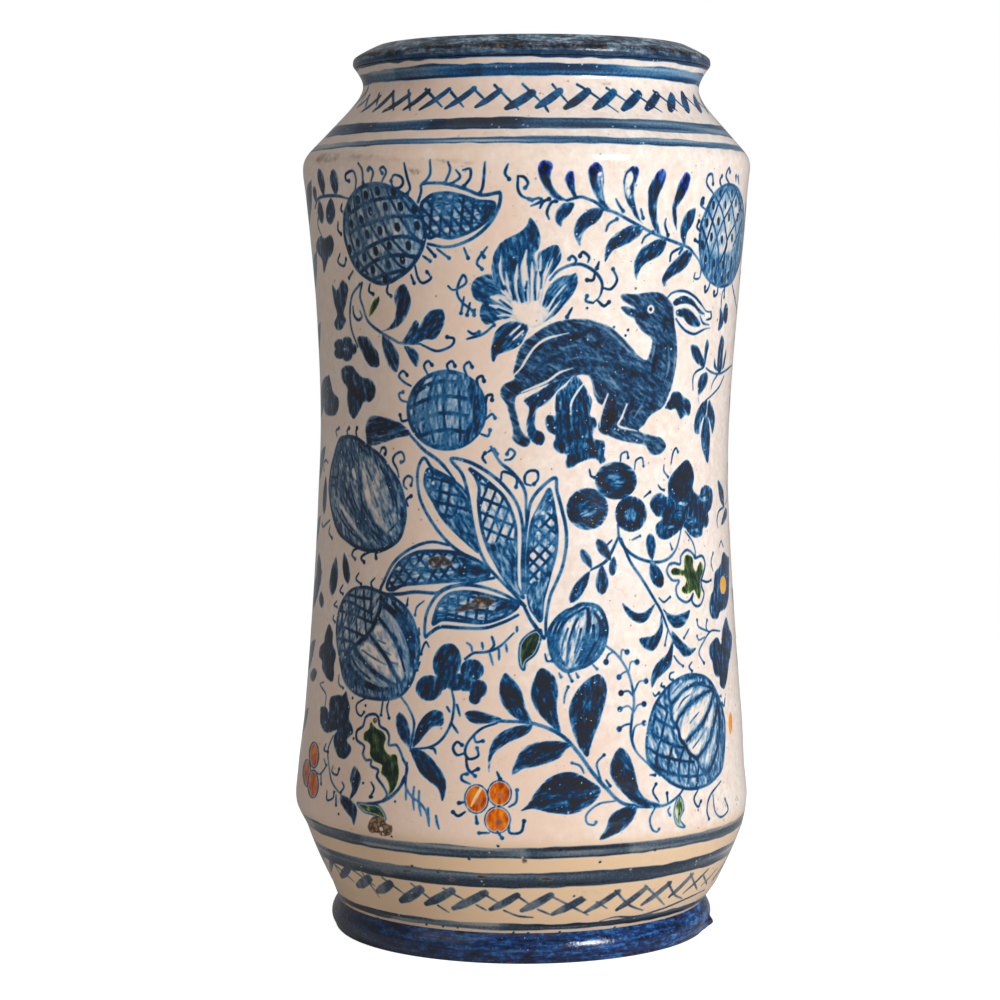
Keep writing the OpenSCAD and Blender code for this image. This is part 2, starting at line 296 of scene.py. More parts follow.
class Half:
    """The front or the back of the painted skin: its grid of points, and the paint on each."""

    def __init__(self, facing, step, seed):
        self.facing = facing
        quarter = UNROLL_MM * math.pi / 2
        self.u = np.linspace(-quarter, quarter, int(2 * quarter / step))
        self.v = np.linspace(0, profile_path[-1] / MM, int(profile_path[-1] / MM / step))
        self.z = np.interp(self.v * MM, profile_path, profile_z)
        self.seed = seed
        shape = (len(self.v), len(self.u))
        self.paint = {name: np.zeros(shape, np.float32) for name in LAYERS}
        self.tile = np.random.default_rng(seed).random((TILE, TILE))
        blots = 0.5 * self.cloud(5.5) + 0.32 * self.cloud(2.2) + 0.18 * self.cloud(0.9)
        self.blots = smoothstep((blots - 0.28) / 0.44)

    def cloud(self, size, stretch=1.0):
        """Soft random blotches from 0 to 1, about size mm across and stretched round the jar."""
        self.seed += 1
        x = (self.u - self.u[0]) / (size * stretch)
        y = self.v / size
        grid = np.random.default_rng(self.seed).random((int(y[-1]) + 2, int(x[-1]) + 2))
        i = x.astype(int)
        j = y.astype(int)
        corners = [grid[j + b][:, i + a] for b in (0, 1) for a in (0, 1)]
        return blend(corners, smoothstep(x - i)[None], smoothstep(y - j)[:, None])

    def grain(self, window, angle):
        """Streaks of the brush from 0 to 1, along an angle in the photo."""
        c = math.cos(math.radians(angle))
        s = -math.sin(math.radians(angle))
        u = self.u[window[1]][None] + TILE_START
        v = self.v[window[0]][:, None] + TILE_START
        total = 0
        for length, width, share in STREAKS:
            x = (u * c + v * s) / length
            y = (v * c - u * s) / width
            i = np.floor(x).astype(int)
            j = np.floor(y).astype(int)
            corners = [self.tile[(j + b) % TILE, (i + a) % TILE] for b in (0, 1) for a in (0, 1)]
            total = total + share * blend(corners, smoothstep(x - i), smoothstep(y - j))
        return total

    def window(self, line, pad):
        """The part of the grid that holds a line, with a border."""
        cols = np.searchsorted(self.u, [line[:, 0].min() - pad, line[:, 0].max() + pad])
        rows = np.searchsorted(self.v, [line[:, 1].min() - pad, line[:, 1].max() + pad])
        return slice(*rows), slice(*cols)

    def uneven(self, window, blots):
        """How much paint the brush left at each point, about 1."""
        return 1 - blots + 2 * blots * self.blots[window]

    def lay(self, layer, window, cover, tone):
        old = self.paint[layer][window]
        self.paint[layer][window] = old + (tone - old) * cover

    def draw(self, line, half, tone, layer="cobalt", clip=None, blots=0.22):
        """A brush line through unrolled points, with a half width in mm at each of them."""
        window = self.window(line, half.max() + SOFT)
        v = self.v[window[0]]
        u = self.u[window[1]]
        cover = np.zeros((len(v), len(u)))
        for a, b, wa, wb in zip(line, line[1:], half, half[1:]):
            spot, along, gap = near_segment(u, v, a, b, max(wa, wb) + SOFT)
            here = np.clip((wa + (wb - wa) * along - gap) / SOFT + 0.5, 0, 1)
            cover[spot] = np.maximum(cover[spot], here)
        if clip is not None:
            cover = cover * clip[window]
        self.lay(layer, window, cover, tone * self.uneven(window, blots))

    def stroke(self, points, width=2.7, tone=DARK, ends=(0.8, 0.45), **more):
        """A brush line through photo pixels, thinner towards its ends."""
        line = cast(curve(points))
        t = np.linspace(0, 1, len(line))
        start = ends[0] + (1 - ends[0]) * np.minimum(t / TAPER, 1)
        finish = ends[1] + (1 - ends[1]) * np.minimum((1 - t) / TAPER, 1)
        self.draw(line, 0.5 * PX * width * start * finish, tone, **more)

    def dot(self, centre, radius, tone=DARK, **more):
        """A dab of the brush."""
        line = cast([centre, (centre[0] + 0.1, centre[1] + 0.1)])
        self.draw(line, np.full(2, radius * PX), tone, **more)

    def speck(self, place, radius, tone, **more):
        """A round speck at an unrolled point, with a radius in mm."""
        self.draw(np.array([place, place + SPECK_LENGTH]), np.full(2, radius), tone, **more)

    def shape(self, *outlines):
        """Window, cover and depth in mm of what outlines in the photo hold together."""
        lines = [cast(outline) for outline in outlines]
        window = self.window(np.concatenate(lines), DEEPEST)
        depth = np.max([self.depth(line, window) for line in lines], axis=0)
        return window, np.clip(depth / SOFT + 0.5, 0, 1), depth

    def depth(self, line, window):
        """How deep inside a closed line each point of a window lies, in mm, negative outside."""
        v = self.v[window[0]]
        u = self.u[window[1]]
        inside = np.zeros((len(v), len(u)), bool)
        depth = np.full((len(v), len(u)), DEEPEST)
        for a, b in zip(line, np.roll(line, -1, axis=0)):
            crossed = slice(*np.searchsorted(v, sorted((a[1], b[1]))))
            if crossed.stop > crossed.start:
                meets = a[0] + (v[crossed] - a[1]) * (b[0] - a[0]) / (b[1] - a[1])
                inside[crossed] ^= u[None] < meets[:, None]
            spot, _, gap = near_segment(u, v, a, b, DEEPEST)
            depth[spot] = np.minimum(depth[spot], gap)
        return np.where(inside, depth, -depth)

    def clip(self, outline):
        """A mask over the whole grid of what an outline holds."""
        window, cover, _ = self.shape(outline)
        mask = np.zeros_like(self.paint["cobalt"])
        mask[window] = cover
        return mask

    def wash(self, outline, edge=0.62, core=0.9, rim=1.1, blots=0.3, streak=1.0, angle=None, layer="cobalt",
             others=()):
        """Fills outlines: edge tone along them, core tone from rim mm inside, with blots and streaks."""
        window, cover, depth = self.shape(outline, *others)
        if angle is None:
            angle = long_way(outline)
        middle = (core - edge) * smoothstep(depth / rim) * self.uneven(window, blots)
        streaks = streak * (self.grain(window, angle) - 0.5)
        self.lay(layer, window, cover, np.clip(edge + middle + streaks, 0, 1.05))

    def leaf(self, tip, base, width, bend=0.0, **more):
        self.wash(leaf_outline(tip, base, width, bend), **more)


# Motifs, as points read from the photograph


TOP_STEM = [
    (568, 200), (580, 197), (588, 199), (597, 203), (604, 209), (616, 213), (636, 224), (657, 235),
    (677, 243), (689, 248), (695, 255), (699, 261), (701, 268), (700, 277), (697, 279), (694, 278),
    (695, 273),
]
TOP_CLUBS = [
    [(538, 168), (540, 162), (545, 160), (551, 162), (553, 167), (551, 173), (551, 181), (554, 188),
     (560, 195), (568, 201), (563, 201), (556, 200), (549, 194), (543, 185), (539, 176)],
    [(565, 180), (568, 172), (572, 171), (574, 174), (575, 189), (577, 197), (574, 197), (570, 191)],
    [(588, 171), (591, 165), (596, 162), (601, 165), (603, 170), (604, 181), (603, 191), (605, 201),
     (611, 210), (604, 207), (597, 199), (592, 189), (589, 179)],
    [(623, 181), (626, 172), (631, 167), (636, 166), (639, 170), (638, 177), (635, 186), (634, 196),
     (636, 207), (640, 219), (643, 224), (636, 218), (630, 208), (626, 200), (624, 191)],
    [(648, 191), (651, 183), (656, 174), (661, 169), (665, 170), (666, 176), (664, 184), (659, 195),
     (657, 205), (657, 217), (659, 227), (661, 236), (656, 232), (652, 224), (649, 213), (648, 201)],
    [(676, 193), (679, 183), (683, 176), (686, 172), (690, 175), (690, 182), (687, 191), (682, 200),
     (677, 208), (677, 219), (677, 231), (675, 227), (673, 219), (672, 208), (674, 200)],
    [(695, 208), (695, 217), (692, 225), (687, 234), (685, 246), (682, 241), (680, 232), (682, 222),
     (686, 213)],
]
VIVID_HEADS = [
    ((545, 167), (8, 8)), ((570, 177), (5, 8)), ((594, 168), (7, 8)), ((638, 171), (4, 8)),
    ((662, 174), (7, 8)), ((687, 182), (7, 13)),
]
# Pale patches on two club heads: worn paint together with a painted sheen of the key lamp
CLUB_WEAR_AND_SHEEN = [
    [(597, 173), (603, 172), (603, 190), (605, 202), (600, 198), (597, 187)],
    [(625, 177), (631, 170), (634, 178), (631, 187), (632, 198), (627, 198), (624, 188)],
]
TOP_DROPS = [
    [(574, 203), (573, 209), (569, 215), (563, 221), (561, 227), (556, 222), (555, 216), (558, 208),
     (564, 203)],
    [(603, 209), (602, 215), (597, 222), (588, 228), (582, 236), (580, 246), (575, 237), (574, 229),
     (578, 219), (585, 212), (593, 208)],
    [(643, 228), (640, 235), (633, 241), (623, 246), (614, 250), (609, 256), (605, 262), (605, 253),
     (607, 244), (614, 235), (623, 229), (633, 225)],
    [(666, 241), (665, 248), (659, 256), (648, 262), (641, 268), (636, 279), (634, 268), (635, 260),
     (641, 249), (650, 243), (659, 239)],
    [(692, 253), (690, 261), (683, 270), (672, 277), (667, 281), (664, 287), (662, 280), (665, 272),
     (671, 264), (679, 256), (686, 250)],
]
TOP_TICKS = [
    [(518, 176), (524, 177), (528, 183), (525, 188)], [(518, 176), (518, 189), (522, 196), (529, 199)],
    [(531, 206), (538, 203), (542, 200), (539, 198), (532, 200)], [(508, 164), (505, 173), (509, 179)],
    [(540, 208), (543, 202), (549, 199)], [(549, 219), (547, 212), (551, 203), (556, 201)],
    [(606, 231), (609, 224), (617, 219)], [(642, 243), (645, 237), (653, 232)],
    [(670, 261), (672, 253), (682, 247)], [(679, 254), (682, 249)], [(641, 209), (643, 218)],
    [(666, 219), (665, 225), (668, 235)], [(616, 199), (619, 205), (623, 211)],
]

PINEAPPLE = [
    (728, 184.5), (736.5, 187.5), (741, 195.5), (743.5, 208), (744.5, 222.5), (743.5, 238), (741.5, 253.5),
    (738, 268), (732, 281.5), (723, 286.5), (714.5, 284.5), (706.5, 277.5), (702, 268), (700, 253.5),
    (699.5, 239), (701, 224.5), (705.5, 212), (711.5, 198.5), (718.5, 189.5),
]
PINEAPPLE_LIGHT = [
    (726, 189), (736, 192), (739, 205), (739, 225), (737, 243), (731, 254), (720, 258), (709, 254),
    (704, 243), (706, 225), (713, 204),
]
PINEAPPLE_NET = [
    [(708, 210), (712.5, 221.5), (716.5, 236), (718.5, 253.5), (718.5, 272)],
    [(716, 197.5), (722, 211), (725, 226.5), (727, 243), (725, 253.5), (724, 268)],
    [(726, 189), (731, 202), (734, 217.5), (736, 233), (735.5, 243)],
    [(702, 227.5), (706.5, 241), (709.5, 256.5), (709, 272)], [(735.5, 188.5), (739.5, 202), (742, 212)],
    [(726, 189), (718.5, 204), (712.5, 221.5), (707.5, 238), (704, 249.5)],
    [(737, 190.5), (730, 208), (723, 221.5), (717, 237), (711.5, 253.5), (709.5, 264)],
    [(740.5, 208), (735.5, 222.5), (728, 238), (725, 249.5), (720, 262)],
    [(742, 220.5), (738, 233), (733, 246)], [(716, 192), (709, 206), (704, 218)],
]
PINEAPPLE_SEEDS = [
    (713.5, 205.5), (725.5, 205), (707, 223), (718.5, 221.5), (729, 217.5), (711.5, 237), (722, 240),
    (732, 238), (720.5, 193), (732, 193.5), (736, 203), (737.5, 217.5), (702.5, 245), (705.5, 259),
    (714, 263), (723, 265), (731.5, 261), (715, 277.5), (722, 280), (728, 276),
]
PINEAPPLE_CURLS = [
    [(713, 193), (707, 184), (708, 176), (712, 174), (713, 179), (713, 184)],
    [(722, 188), (720, 181), (722, 176)], [(729, 183), (726, 176), (729, 168), (730, 172)],
    [(736, 181), (736, 176)], [(739, 184), (738, 177)],
    [(705, 209), (701, 205), (702, 199), (704, 198), (703, 203)], [(700, 231), (697, 227), (699, 221)],
    [(699, 243), (695, 240)], [(710, 283), (708, 289), (705, 292), (705, 287)],
    [(718, 286), (717, 294), (714, 296), (714, 292)], [(725, 286), (724, 297)], [(732, 284), (735, 299)],
]

FRUIT_ONE = [
    (381, 184), (391, 187.5), (400.5, 192.5), (409, 198.5), (416.5, 207), (422, 217), (425, 227.5),
    (424.5, 238.5), (421, 251), (415, 261.5), (408, 270), (398, 277.5), (387, 283), (376.5, 282.5),
    (365.5, 276.5), (358, 270), (352.5, 261.5), (348.5, 251), (345, 238.5), (344, 225), (345, 213),
    (348.5, 202), (354.5, 192.5), (363, 186.5), (371.5, 184),
]
FRUIT_ONE_ROWS = [
    [(347, 216), (359, 207), (371.5, 201), (386, 198), (399.5, 197)],
    [(349.5, 234), (359, 227.5), (374, 221.5), (388.5, 217), (403, 216), (421, 217.5)],
    [(353, 257), (366.5, 248.5), (380, 241.5), (393, 237.5), (408, 237), (424, 243.5)],
    [(361.5, 271.5), (374, 261.5), (386, 257), (400.5, 255), (416.5, 257)],
    [(370, 281), (383.5, 275), (398, 271.5), (408, 270)],
]
FRUIT_ONE_LINES = [
    [(348, 210.5), (348.5, 225), (352, 242.5), (358, 259.5), (368, 274)],
    [(353, 192.5), (355, 208.5), (357.5, 220.5), (359.5, 235), (366.5, 251), (375, 263), (386, 275),
     (391, 281)],
    [(361, 187), (362.5, 201), (367, 218), (371.5, 227.5), (380, 241), (389.5, 253), (398, 264),
     (406.5, 270)],
    [(370, 185), (374, 201), (378.5, 214.5), (383.5, 223), (388.5, 235), (398, 246), (408, 255.5),
     (415, 258)],
    [(385, 185), (389.5, 197.5), (394.5, 207), (400.5, 218), (408, 229), (416.5, 238.5), (425, 244.5)],
    [(397, 192.5), (404, 201), (410.5, 210.5), (420, 218)],
]
FRUIT_ONE_DOTS = [
    (357.5, 200), (365.5, 195.5), (377, 191.5), (393, 192), (348.5, 208.5), (361, 220), (370, 211.5),
    (385, 207), (400, 207), (414, 209.5), (351, 224.5), (357.5, 243), (367, 235), (379.5, 231), (397, 227.5),
    (416.5, 226), (349.5, 249.5), (364, 257.5), (375.5, 251.5), (389, 246), (408, 246), (357.5, 265.5),
    (372.5, 270), (388, 265), (402, 260), (385, 280.5),
]
FRUIT_ONE_CURLS = [
    [(355, 190), (356, 180), (353, 171), (346, 174), (346, 180), (349, 181)],
    [(358, 163), (362, 170), (363, 183)], [(371, 181), (373, 172), (369, 167), (368, 170)],
    [(382, 181), (386, 172), (383, 167), (380, 169), (382, 173)],
    [(391, 180), (394, 175), (401, 177), (403, 183), (399, 188), (393, 187), (391, 181)],
    [(404, 163), (407, 177), (410, 188), (407, 194)], [(430, 160), (430, 174), (424, 183)],
    [(448, 162), (450, 170), (445, 183)], [(456, 170), (460, 177), (451, 184)],
    [(463, 170), (470, 169), (470, 178), (464, 186)], [(485, 162), (483, 185), (480, 193)],
    [(342, 204), (341, 210), (344, 213)], [(338, 222), (338, 230), (341, 234)],
    [(340, 254), (338, 262), (344, 266), (346, 259)], [(353, 271), (349, 278)], [(427, 247), (435, 256)],
    [(437, 249), (449, 258)], [(464, 248), (468, 258)], [(423, 256), (430, 261)], [(411, 275), (414, 283)],
    [(415, 266), (418, 278), (423, 283), (431, 278), (427, 272)],
    [(448, 286), (454, 290), (466, 283), (463, 275), (457, 290), (461, 301), (473, 311)],
    [(370, 284), (369, 291), (373, 294)], [(388, 284), (387, 292), (391, 296)], [(464, 297), (461, 313)],
    [(470, 303), (467, 315)], [(475, 309), (474, 315)], [(487, 247), (477, 262), (482, 269)],
    [(481, 252), (484, 257)], [(468, 331), (473, 334), (479, 332)], [(467, 339), (483, 334), (494, 325)],
]
TOP_LEAF_OUTER = [
    (418, 202), (421, 192), (422, 184), (435, 183), (448, 184), (465, 189), (481, 195), (496, 193),
    (500, 193), (500, 202), (496, 213), (489, 224), (476, 236), (460, 244), (445, 247), (428, 244),
]
TOP_LEAF_DARK = [(479, 203), (493, 205), (491, 215), (484, 222), (477, 221), (482, 212)]
TOP_LEAF_INNER = [
    (421, 208), (426, 199), (435, 194), (449, 193), (463, 196), (479, 201), (494, 203), (491, 216),
    (481, 225), (467, 233), (451, 238), (437, 236), (427, 236),
]

LEFT_LEAVES = [
    ((319, 168), (324, 197), 6.5), ((333, 169), (336, 196), 8.5), ((314, 186), (316, 203), 4),
    ((322, 224), (319, 199), 6), ((330, 225), (331, 197), 9.5),
]
LEFT_STEMS = [
    [(315, 208), (318, 199), (326, 196), (338, 196), (349, 199)], [(319, 212), (318, 225), (322, 237)],
    [(360, 284), (352, 296), (350, 315), (352, 331), (358, 347)],
    [(362, 283), (360, 296), (363, 307), (368, 321), (379, 331), (394, 340), (401, 343), (421, 344)],
    [(353, 307), (354, 315), (358, 320), (362, 317), (360, 311)],
]
LEFT_SHAPES = [
    [(316, 244), (320, 236), (325, 238), (331, 235), (334, 244), (332, 254), (328, 260), (324, 273),
     (322, 260), (317, 252)],
    [(332, 285), (337, 290), (342, 280), (348, 287), (347, 299), (344, 313), (346, 321), (342, 329),
     (337, 330), (334, 323), (337, 315), (334, 302)],
    [(357, 338), (367, 337), (373, 346), (378, 353), (379, 366), (370, 366), (363, 355)],
    [(329, 375), (333, 391), (339, 400), (337, 413), (332, 416), (325, 413), (324, 397), (326, 382)],
    [(411, 434), (399, 422), (383, 417), (371, 416), (366, 424), (366, 437), (369, 446), (383, 443),
     (397, 438)],
]
MIDDLE_LEAVES = [
    [(404, 284), (408, 290), (411, 301), (408, 313), (402, 323), (393, 329), (382, 331), (388, 328),
     (394, 320), (396, 309), (394, 298), (397, 288)],
    [(438, 309), (443, 310), (445, 320), (441, 331), (435, 339), (424, 340), (413, 345), (402, 342),
     (410, 334), (419, 327), (424, 318), (430, 311)],
    [(416, 320), (419, 324), (416, 334), (410, 342), (402, 343), (408, 332), (412, 324)],
    [(383, 335), (392, 343), (399, 356), (397, 372), (389, 366), (384, 353), (382, 343)],
    [(404, 346), (413, 348), (419, 356), (417, 367), (411, 361), (407, 353)],
]
MIDDLE_SPROUT = ((379, 296), (369, 317), 6)
MIDDLE_CURLS = [[(422, 345), (437, 351), (451, 346), (454, 339), (447, 337)]]
SMALL_FLOWER = ((345, 349), 12)
TREFOIL = [
    (341, 371), (345, 366), (352, 366), (357, 372), (362, 377), (370, 379), (375, 386), (375, 396),
    (370, 402), (364, 402), (360, 410), (354, 419), (349, 412), (347, 400), (347, 388), (342, 380),
]
FRUIT_TWO = ((446.7, 410.2), (38.7, 38.7))
FRUIT_TWO_ROWS = [
    [(414, 394), (430, 384), (448, 381), (468, 385)], [(409, 408), (428, 399), (448, 396), (478, 401)],
    [(410, 424), (430, 416), (448, 413), (480, 418)], [(417, 438), (432, 432), (450, 430), (474, 434)],
]
FRUIT_TWO_LINES = [
    [(424, 380), (416, 396), (414, 414), (420, 434)], [(436, 374), (429, 396), (428, 416), (434, 442)],
    [(448, 372), (444, 396), (444, 418), (448, 446)], [(458, 374), (459, 396), (460, 418), (460, 444)],
]
FRUIT_TWO_SHADE = [
    (462, 374), (474, 380), (483, 394), (485, 412), (480, 430), (468, 443), (458, 448), (466, 430),
    (469, 410), (466, 390),
]
FRUIT_TWO_CURLS = [
    [(411, 386), (404, 382), (399, 376), (403, 371), (407, 375)],
    [(428, 375), (424, 366), (428, 361), (432, 365)], [(449, 371), (447, 365), (452, 361), (455, 366)],
    [(467, 376), (464, 367), (469, 362), (472, 367)], [(478, 385), (477, 379), (482, 376), (484, 381)],
    [(486, 403), (487, 396), (492, 395), (492, 400)], [(486, 419), (492, 414), (495, 418)],
    [(481, 434), (488, 436), (490, 430)], [(407, 402), (401, 400), (399, 394), (403, 392)],
    [(408, 420), (402, 421), (400, 415)],
]
FRUIT_TWO_STEM = [(411, 436), (424, 450), (440, 462), (455, 480)]

FRUIT_THREE = [
    (349.5, 436.5), (358, 439), (367, 446), (376, 452), (384, 460), (390, 469), (397, 479), (401.5, 489),
    (404, 500), (405.5, 512), (404.5, 523), (401.5, 534), (397, 541.5), (389, 547), (382, 550), (373.5, 551),
    (365, 550), (355, 546), (347, 540.5), (340, 534), (335.5, 525), (332.5, 513.5), (330, 500), (329, 486),
    (331, 469), (333.5, 458), (336.5, 447), (340, 439), (345, 437),
]
FRUIT_THREE_LENSES = [
    ([(362, 457), (370, 454), (378, 461), (387, 474), (394, 489), (398, 504), (399, 518), (397, 530),
      (393, 538.5), (386, 535), (377, 525), (370, 513), (365, 500), (362, 486), (361, 470)], 0.4),
    ([(332, 495), (338, 497), (344, 506), (350, 516), (358, 526.5), (365, 537), (371, 545), (360, 543),
      (350, 537), (341, 527), (335, 518), (331, 509)], 0.44),
    ([(344, 458), (350, 456), (355, 462), (357, 474), (355, 486), (350, 493), (344, 490), (341, 480),
      (341, 467)], 0.6),
]
FRUIT_THREE_PALE = [
    [(362, 470), (366, 474), (371, 492), (377, 508), (385, 522), (392, 531), (391, 536), (384, 532),
     (376, 523), (369, 510), (365, 498), (362, 485)],
    [(334, 496), (339, 499), (346, 510), (354, 522), (362, 534), (368, 542), (360, 537), (350, 525),
     (341, 511)],
]
FRUIT_THREE_SPOT = [(352, 469), (354, 468), (356, 475), (356.5, 480), (354, 478), (352, 473)]
FRUIT_THREE_TEETH = [
    [(340, 442), (342, 456)], [(345.5, 439), (347.5, 452)], [(349.5, 442), (354, 455)],
    [(354, 443), (355, 456)], [(359, 445), (359, 455)], [(358, 444), (364.5, 452)], [(338, 445), (337, 455)],
    [(335, 456), (341, 457)], [(333, 466), (339.5, 467)], [(331, 477), (338, 478)], [(330, 486), (336, 485)],
    [(335, 452), (333, 469), (332, 486)], [(339.5, 457), (338, 470), (337.5, 486)],
]
FRUIT_THREE_STREAKS = [
    [(344, 482), (348.5, 497), (358, 515), (369, 532), (378, 544)],
    [(350, 482), (354, 500), (362.5, 518), (374.5, 533), (387.5, 544)],
    [(358, 460), (359, 480), (361, 497), (367, 513.5), (378, 528), (391, 540.5)],
    [(339, 489), (348.5, 506), (359, 524), (370, 539.5)], [(380, 466), (389, 484), (396, 502), (398, 520)],
    [(385, 478), (391, 494), (394, 508)], [(336, 508), (343, 522), (353, 534), (363, 541)],
    [(341, 510), (347, 522), (354, 531)], [(366, 462), (368, 470), (374, 484)], [(387.5, 533), (397, 523)],
]
FRUIT_THREE_CURLS = [
    [(380, 453), (382, 448), (385, 448), (386, 452), (385, 454)],
    [(399, 477), (397, 469), (393, 461), (395, 455), (401, 452), (404, 456), (404, 461), (401, 462)],
    [(407, 489), (404, 486), (404, 480), (408, 476), (412, 478), (412, 482), (411, 485)],
    [(408, 506), (406, 501), (408, 498), (411, 496)], [(328, 463), (326, 460), (324, 463), (324, 470)],
    [(330, 520), (326, 524), (323, 527), (322, 524)], [(330, 526), (329, 533), (332, 538)],
    [(357, 549), (354, 550), (352, 555), (355, 559)], [(372, 551), (365, 554), (361, 558), (364, 562)],
    [(382, 551), (376, 553), (376, 558)], [(337, 436), (336, 431), (339, 428)],
    [(348, 436), (347, 431), (349, 428)], [(357, 437), (356, 432), (357, 428)],
]
LEFT_EDGE_LEAVES = [
    ((332, 596), (336, 556), 8), ((348, 584), (344, 552), 7), ((319, 588), (319, 552), 5),
    ((322, 608), (321, 591), 5), ((324, 515), (326, 475), 4),
]

# The five hatched leaves: the outer line, the field inside it, and how dark that field is
HATCHED = [
    ([(482, 563), (467, 556), (451, 545), (436, 528), (423, 506), (418, 488), (418, 469), (424, 458),
      (432, 468), (446, 476), (459, 485), (467, 494)],
     [(428, 469.5), (438, 475), (450, 481.5), (459.5, 491), (466, 500), (470.5, 512), (472.5, 526.5),
      (476, 539.5), (478.5, 551.5), (470, 545), (458, 534), (447.5, 523.5), (439.5, 513), (433, 501),
      (427, 490.5), (424.5, 481)], 0.46, ((14, 11), (99, 9.5))),
    ([(523, 604), (514, 594), (500, 580), (487, 565), (478, 545), (472, 519), (468, 494), (462, 474),
      (451, 459), (469, 462), (489, 473), (505, 487), (517, 504), (522, 522), (523, 542), (522, 568),
      (523, 593)],
     [(470, 469), (482, 477), (493.5, 486.5), (504, 497), (511, 510.5), (515.5, 526.5), (516, 545),
      (516, 561), (516, 574), (517.5, 587), (523.5, 597.5), (515, 591), (504, 578), (496.5, 564.5),
      (488.5, 550), (483, 534), (480, 518.5), (478.5, 502.5), (479, 488), (475, 476)], 0.26,
     ((22, 13.4), (111, 9.4))),
    ([(525, 593), (524, 568), (525, 542), (527, 522), (531, 502), (541, 488), (555, 478), (557, 491),
      (562, 510), (566, 529), (566, 548), (562, 568), (556, 583), (550, 597), (546, 619), (546, 636)],
     [(550, 490), (555, 514.5), (557, 531.5), (556.5, 547.5), (554, 560.5), (550, 574), (546.5, 587),
      (543, 600), (541, 620), (536, 616), (530.5, 607), (528, 593.5), (527.5, 574), (528, 554), (529.5, 537),
      (532.5, 521), (538.5, 508), (544.5, 497)], 0.3, ((45, 9), (133, 9))),
    ([(494, 578), (463, 584), (446, 588), (436, 593), (415, 592), (399, 594), (381, 593), (385, 579),
      (395, 561), (412, 548), (431, 542), (449, 545)],
     [(387, 585), (398, 564), (415, 553), (434, 551), (457, 553), (478, 561), (489, 574), (476, 579),
      (453, 581), (427, 583), (404, 585), (392, 590)], 0.46, ((50, 9.5), (122, 9.5))),
    ([(525, 606), (503, 594), (482, 587), (463, 585), (446, 589), (434, 599), (426, 616), (425, 636),
      (430, 633), (441, 627), (462, 628), (485, 628), (504, 622), (518, 615)],
     [(433, 624), (435, 613.5), (439.5, 603), (447.5, 595), (458, 592), (471, 592), (484.5, 594.5),
      (499, 598.5), (509.5, 601.5), (518, 605), (512, 612), (501.5, 617.5), (490, 621.5), (478, 623),
      (464.5, 621.5), (451.5, 620), (441, 620)], 0.4, ((12, 11), (97, 10))),
]
HATCHED_SHADES = [
    ([(447, 524), (458, 534), (470, 545), (478.5, 551.5), (476, 540), (472.5, 526), (470, 514), (460, 512)],
     0.64),
    ([(487, 548), (496.5, 565), (504, 578), (515, 591), (523.5, 597.5), (517.5, 587), (516, 574), (516, 561),
      (516, 543), (502, 541)], 0.68), ([(550, 490), (553, 503), (546, 513), (535, 516), (538.5, 508)], 0.6),
    ([(528, 588), (530.5, 607), (536, 616), (541, 620), (543, 600), (546.5, 587), (549, 577), (538, 580)],
     0.6), ([(456, 556), (478, 563), (488, 573), (474, 578), (452, 578), (461, 566)], 0.98),
    ([(493, 599), (509, 602), (517, 605), (511, 611), (502, 616), (488, 618), (496, 608)], 0.76),
]
LEAF_WEAR = [
    [(453, 611), (461, 606), (470, 602), (479, 596.5), (488, 597), (495, 601), (488, 607), (475, 608.5),
     (463, 611.5)], [(428, 560), (436, 556), (446, 557), (452, 563), (442, 567), (432, 568)],
]
LEAF_CHIPS = [
    ((441, 559), 1.2), ((444, 562), 1), ((433, 483), 1.6), ((543, 513), 1.6), ((538, 533), 1.6),
    ((545, 557), 1.6),
]
LEAF_STEMS = [
    [(491, 447), (500, 462), (511, 471), (520, 481.5), (525.5, 493.5), (526, 508), (526.5, 524)],
    [(523, 604), (532, 622), (544, 638)],
]
LEAF_CURLS = [
    [(505, 460), (511, 459), (515, 453), (510, 449), (507, 454)],
    [(531, 485.5), (525.5, 483.5), (525, 476), (529.5, 471), (537, 471.5), (538, 479), (534, 484)],
    [(501, 479.5), (502.5, 472), (511, 474), (517, 479), (516, 487)],
    [(486, 463), (482.5, 457.5), (485, 453)], [(488, 452), (494, 449), (497, 454)],
]

PALMETTE_TOP = [
    (530, 217.5), (535.5, 223.5), (539.5, 232.5), (540.5, 241), (538.5, 249), (534.5, 255), (537, 268),
    (536, 285), (531, 304), (529, 322), (522, 312), (512, 300), (505.5, 292), (499, 288.5), (494, 279.5),
    (491.5, 271), (492, 261), (495, 251.5), (500.5, 243), (509.5, 237), (519, 232.5), (526.5, 225.5),
]
PALMETTE_LEFT = [
    (491, 274), (482.5, 275), (474.5, 279.5), (471, 286.5), (472, 294), (475.5, 300), (481.5, 303.5),
    (480, 309.5), (480, 317), (484.5, 324), (491, 324), (499, 320), (506.5, 319), (513, 317), (521, 321),
    (526, 324), (520, 311), (510, 300), (500, 290), (494, 281),
]
PALMETTE_RIGHT = [
    (553, 245), (558.5, 246), (561.5, 253.5), (560.5, 260.5), (556.5, 267), (552, 273), (547, 278.5),
    (543, 290), (541, 302), (535, 322), (531, 318), (534, 300), (536, 284), (537, 268), (538, 254),
    (545, 249),
]
PALMETTE_LOW = [
    (576, 273), (578, 280.5), (576, 288.5), (571, 297), (564.5, 304.5), (557.5, 311.5), (553, 316.5),
    (545, 322), (536, 325), (540, 312), (543, 302), (545, 294), (549, 286.5), (554.5, 280.5), (562.5, 276),
    (571, 274.5),
]
PALMETTE_LEAF = [
    (515, 321), (504, 324), (496, 331), (492, 342), (491, 357), (494, 362), (498, 355), (509, 351),
    (520, 345), (526, 335), (528, 326),
]
PALMETTE_STRIPES = [[(520, 326), (510, 335)], [(523, 331), (513, 340)]]
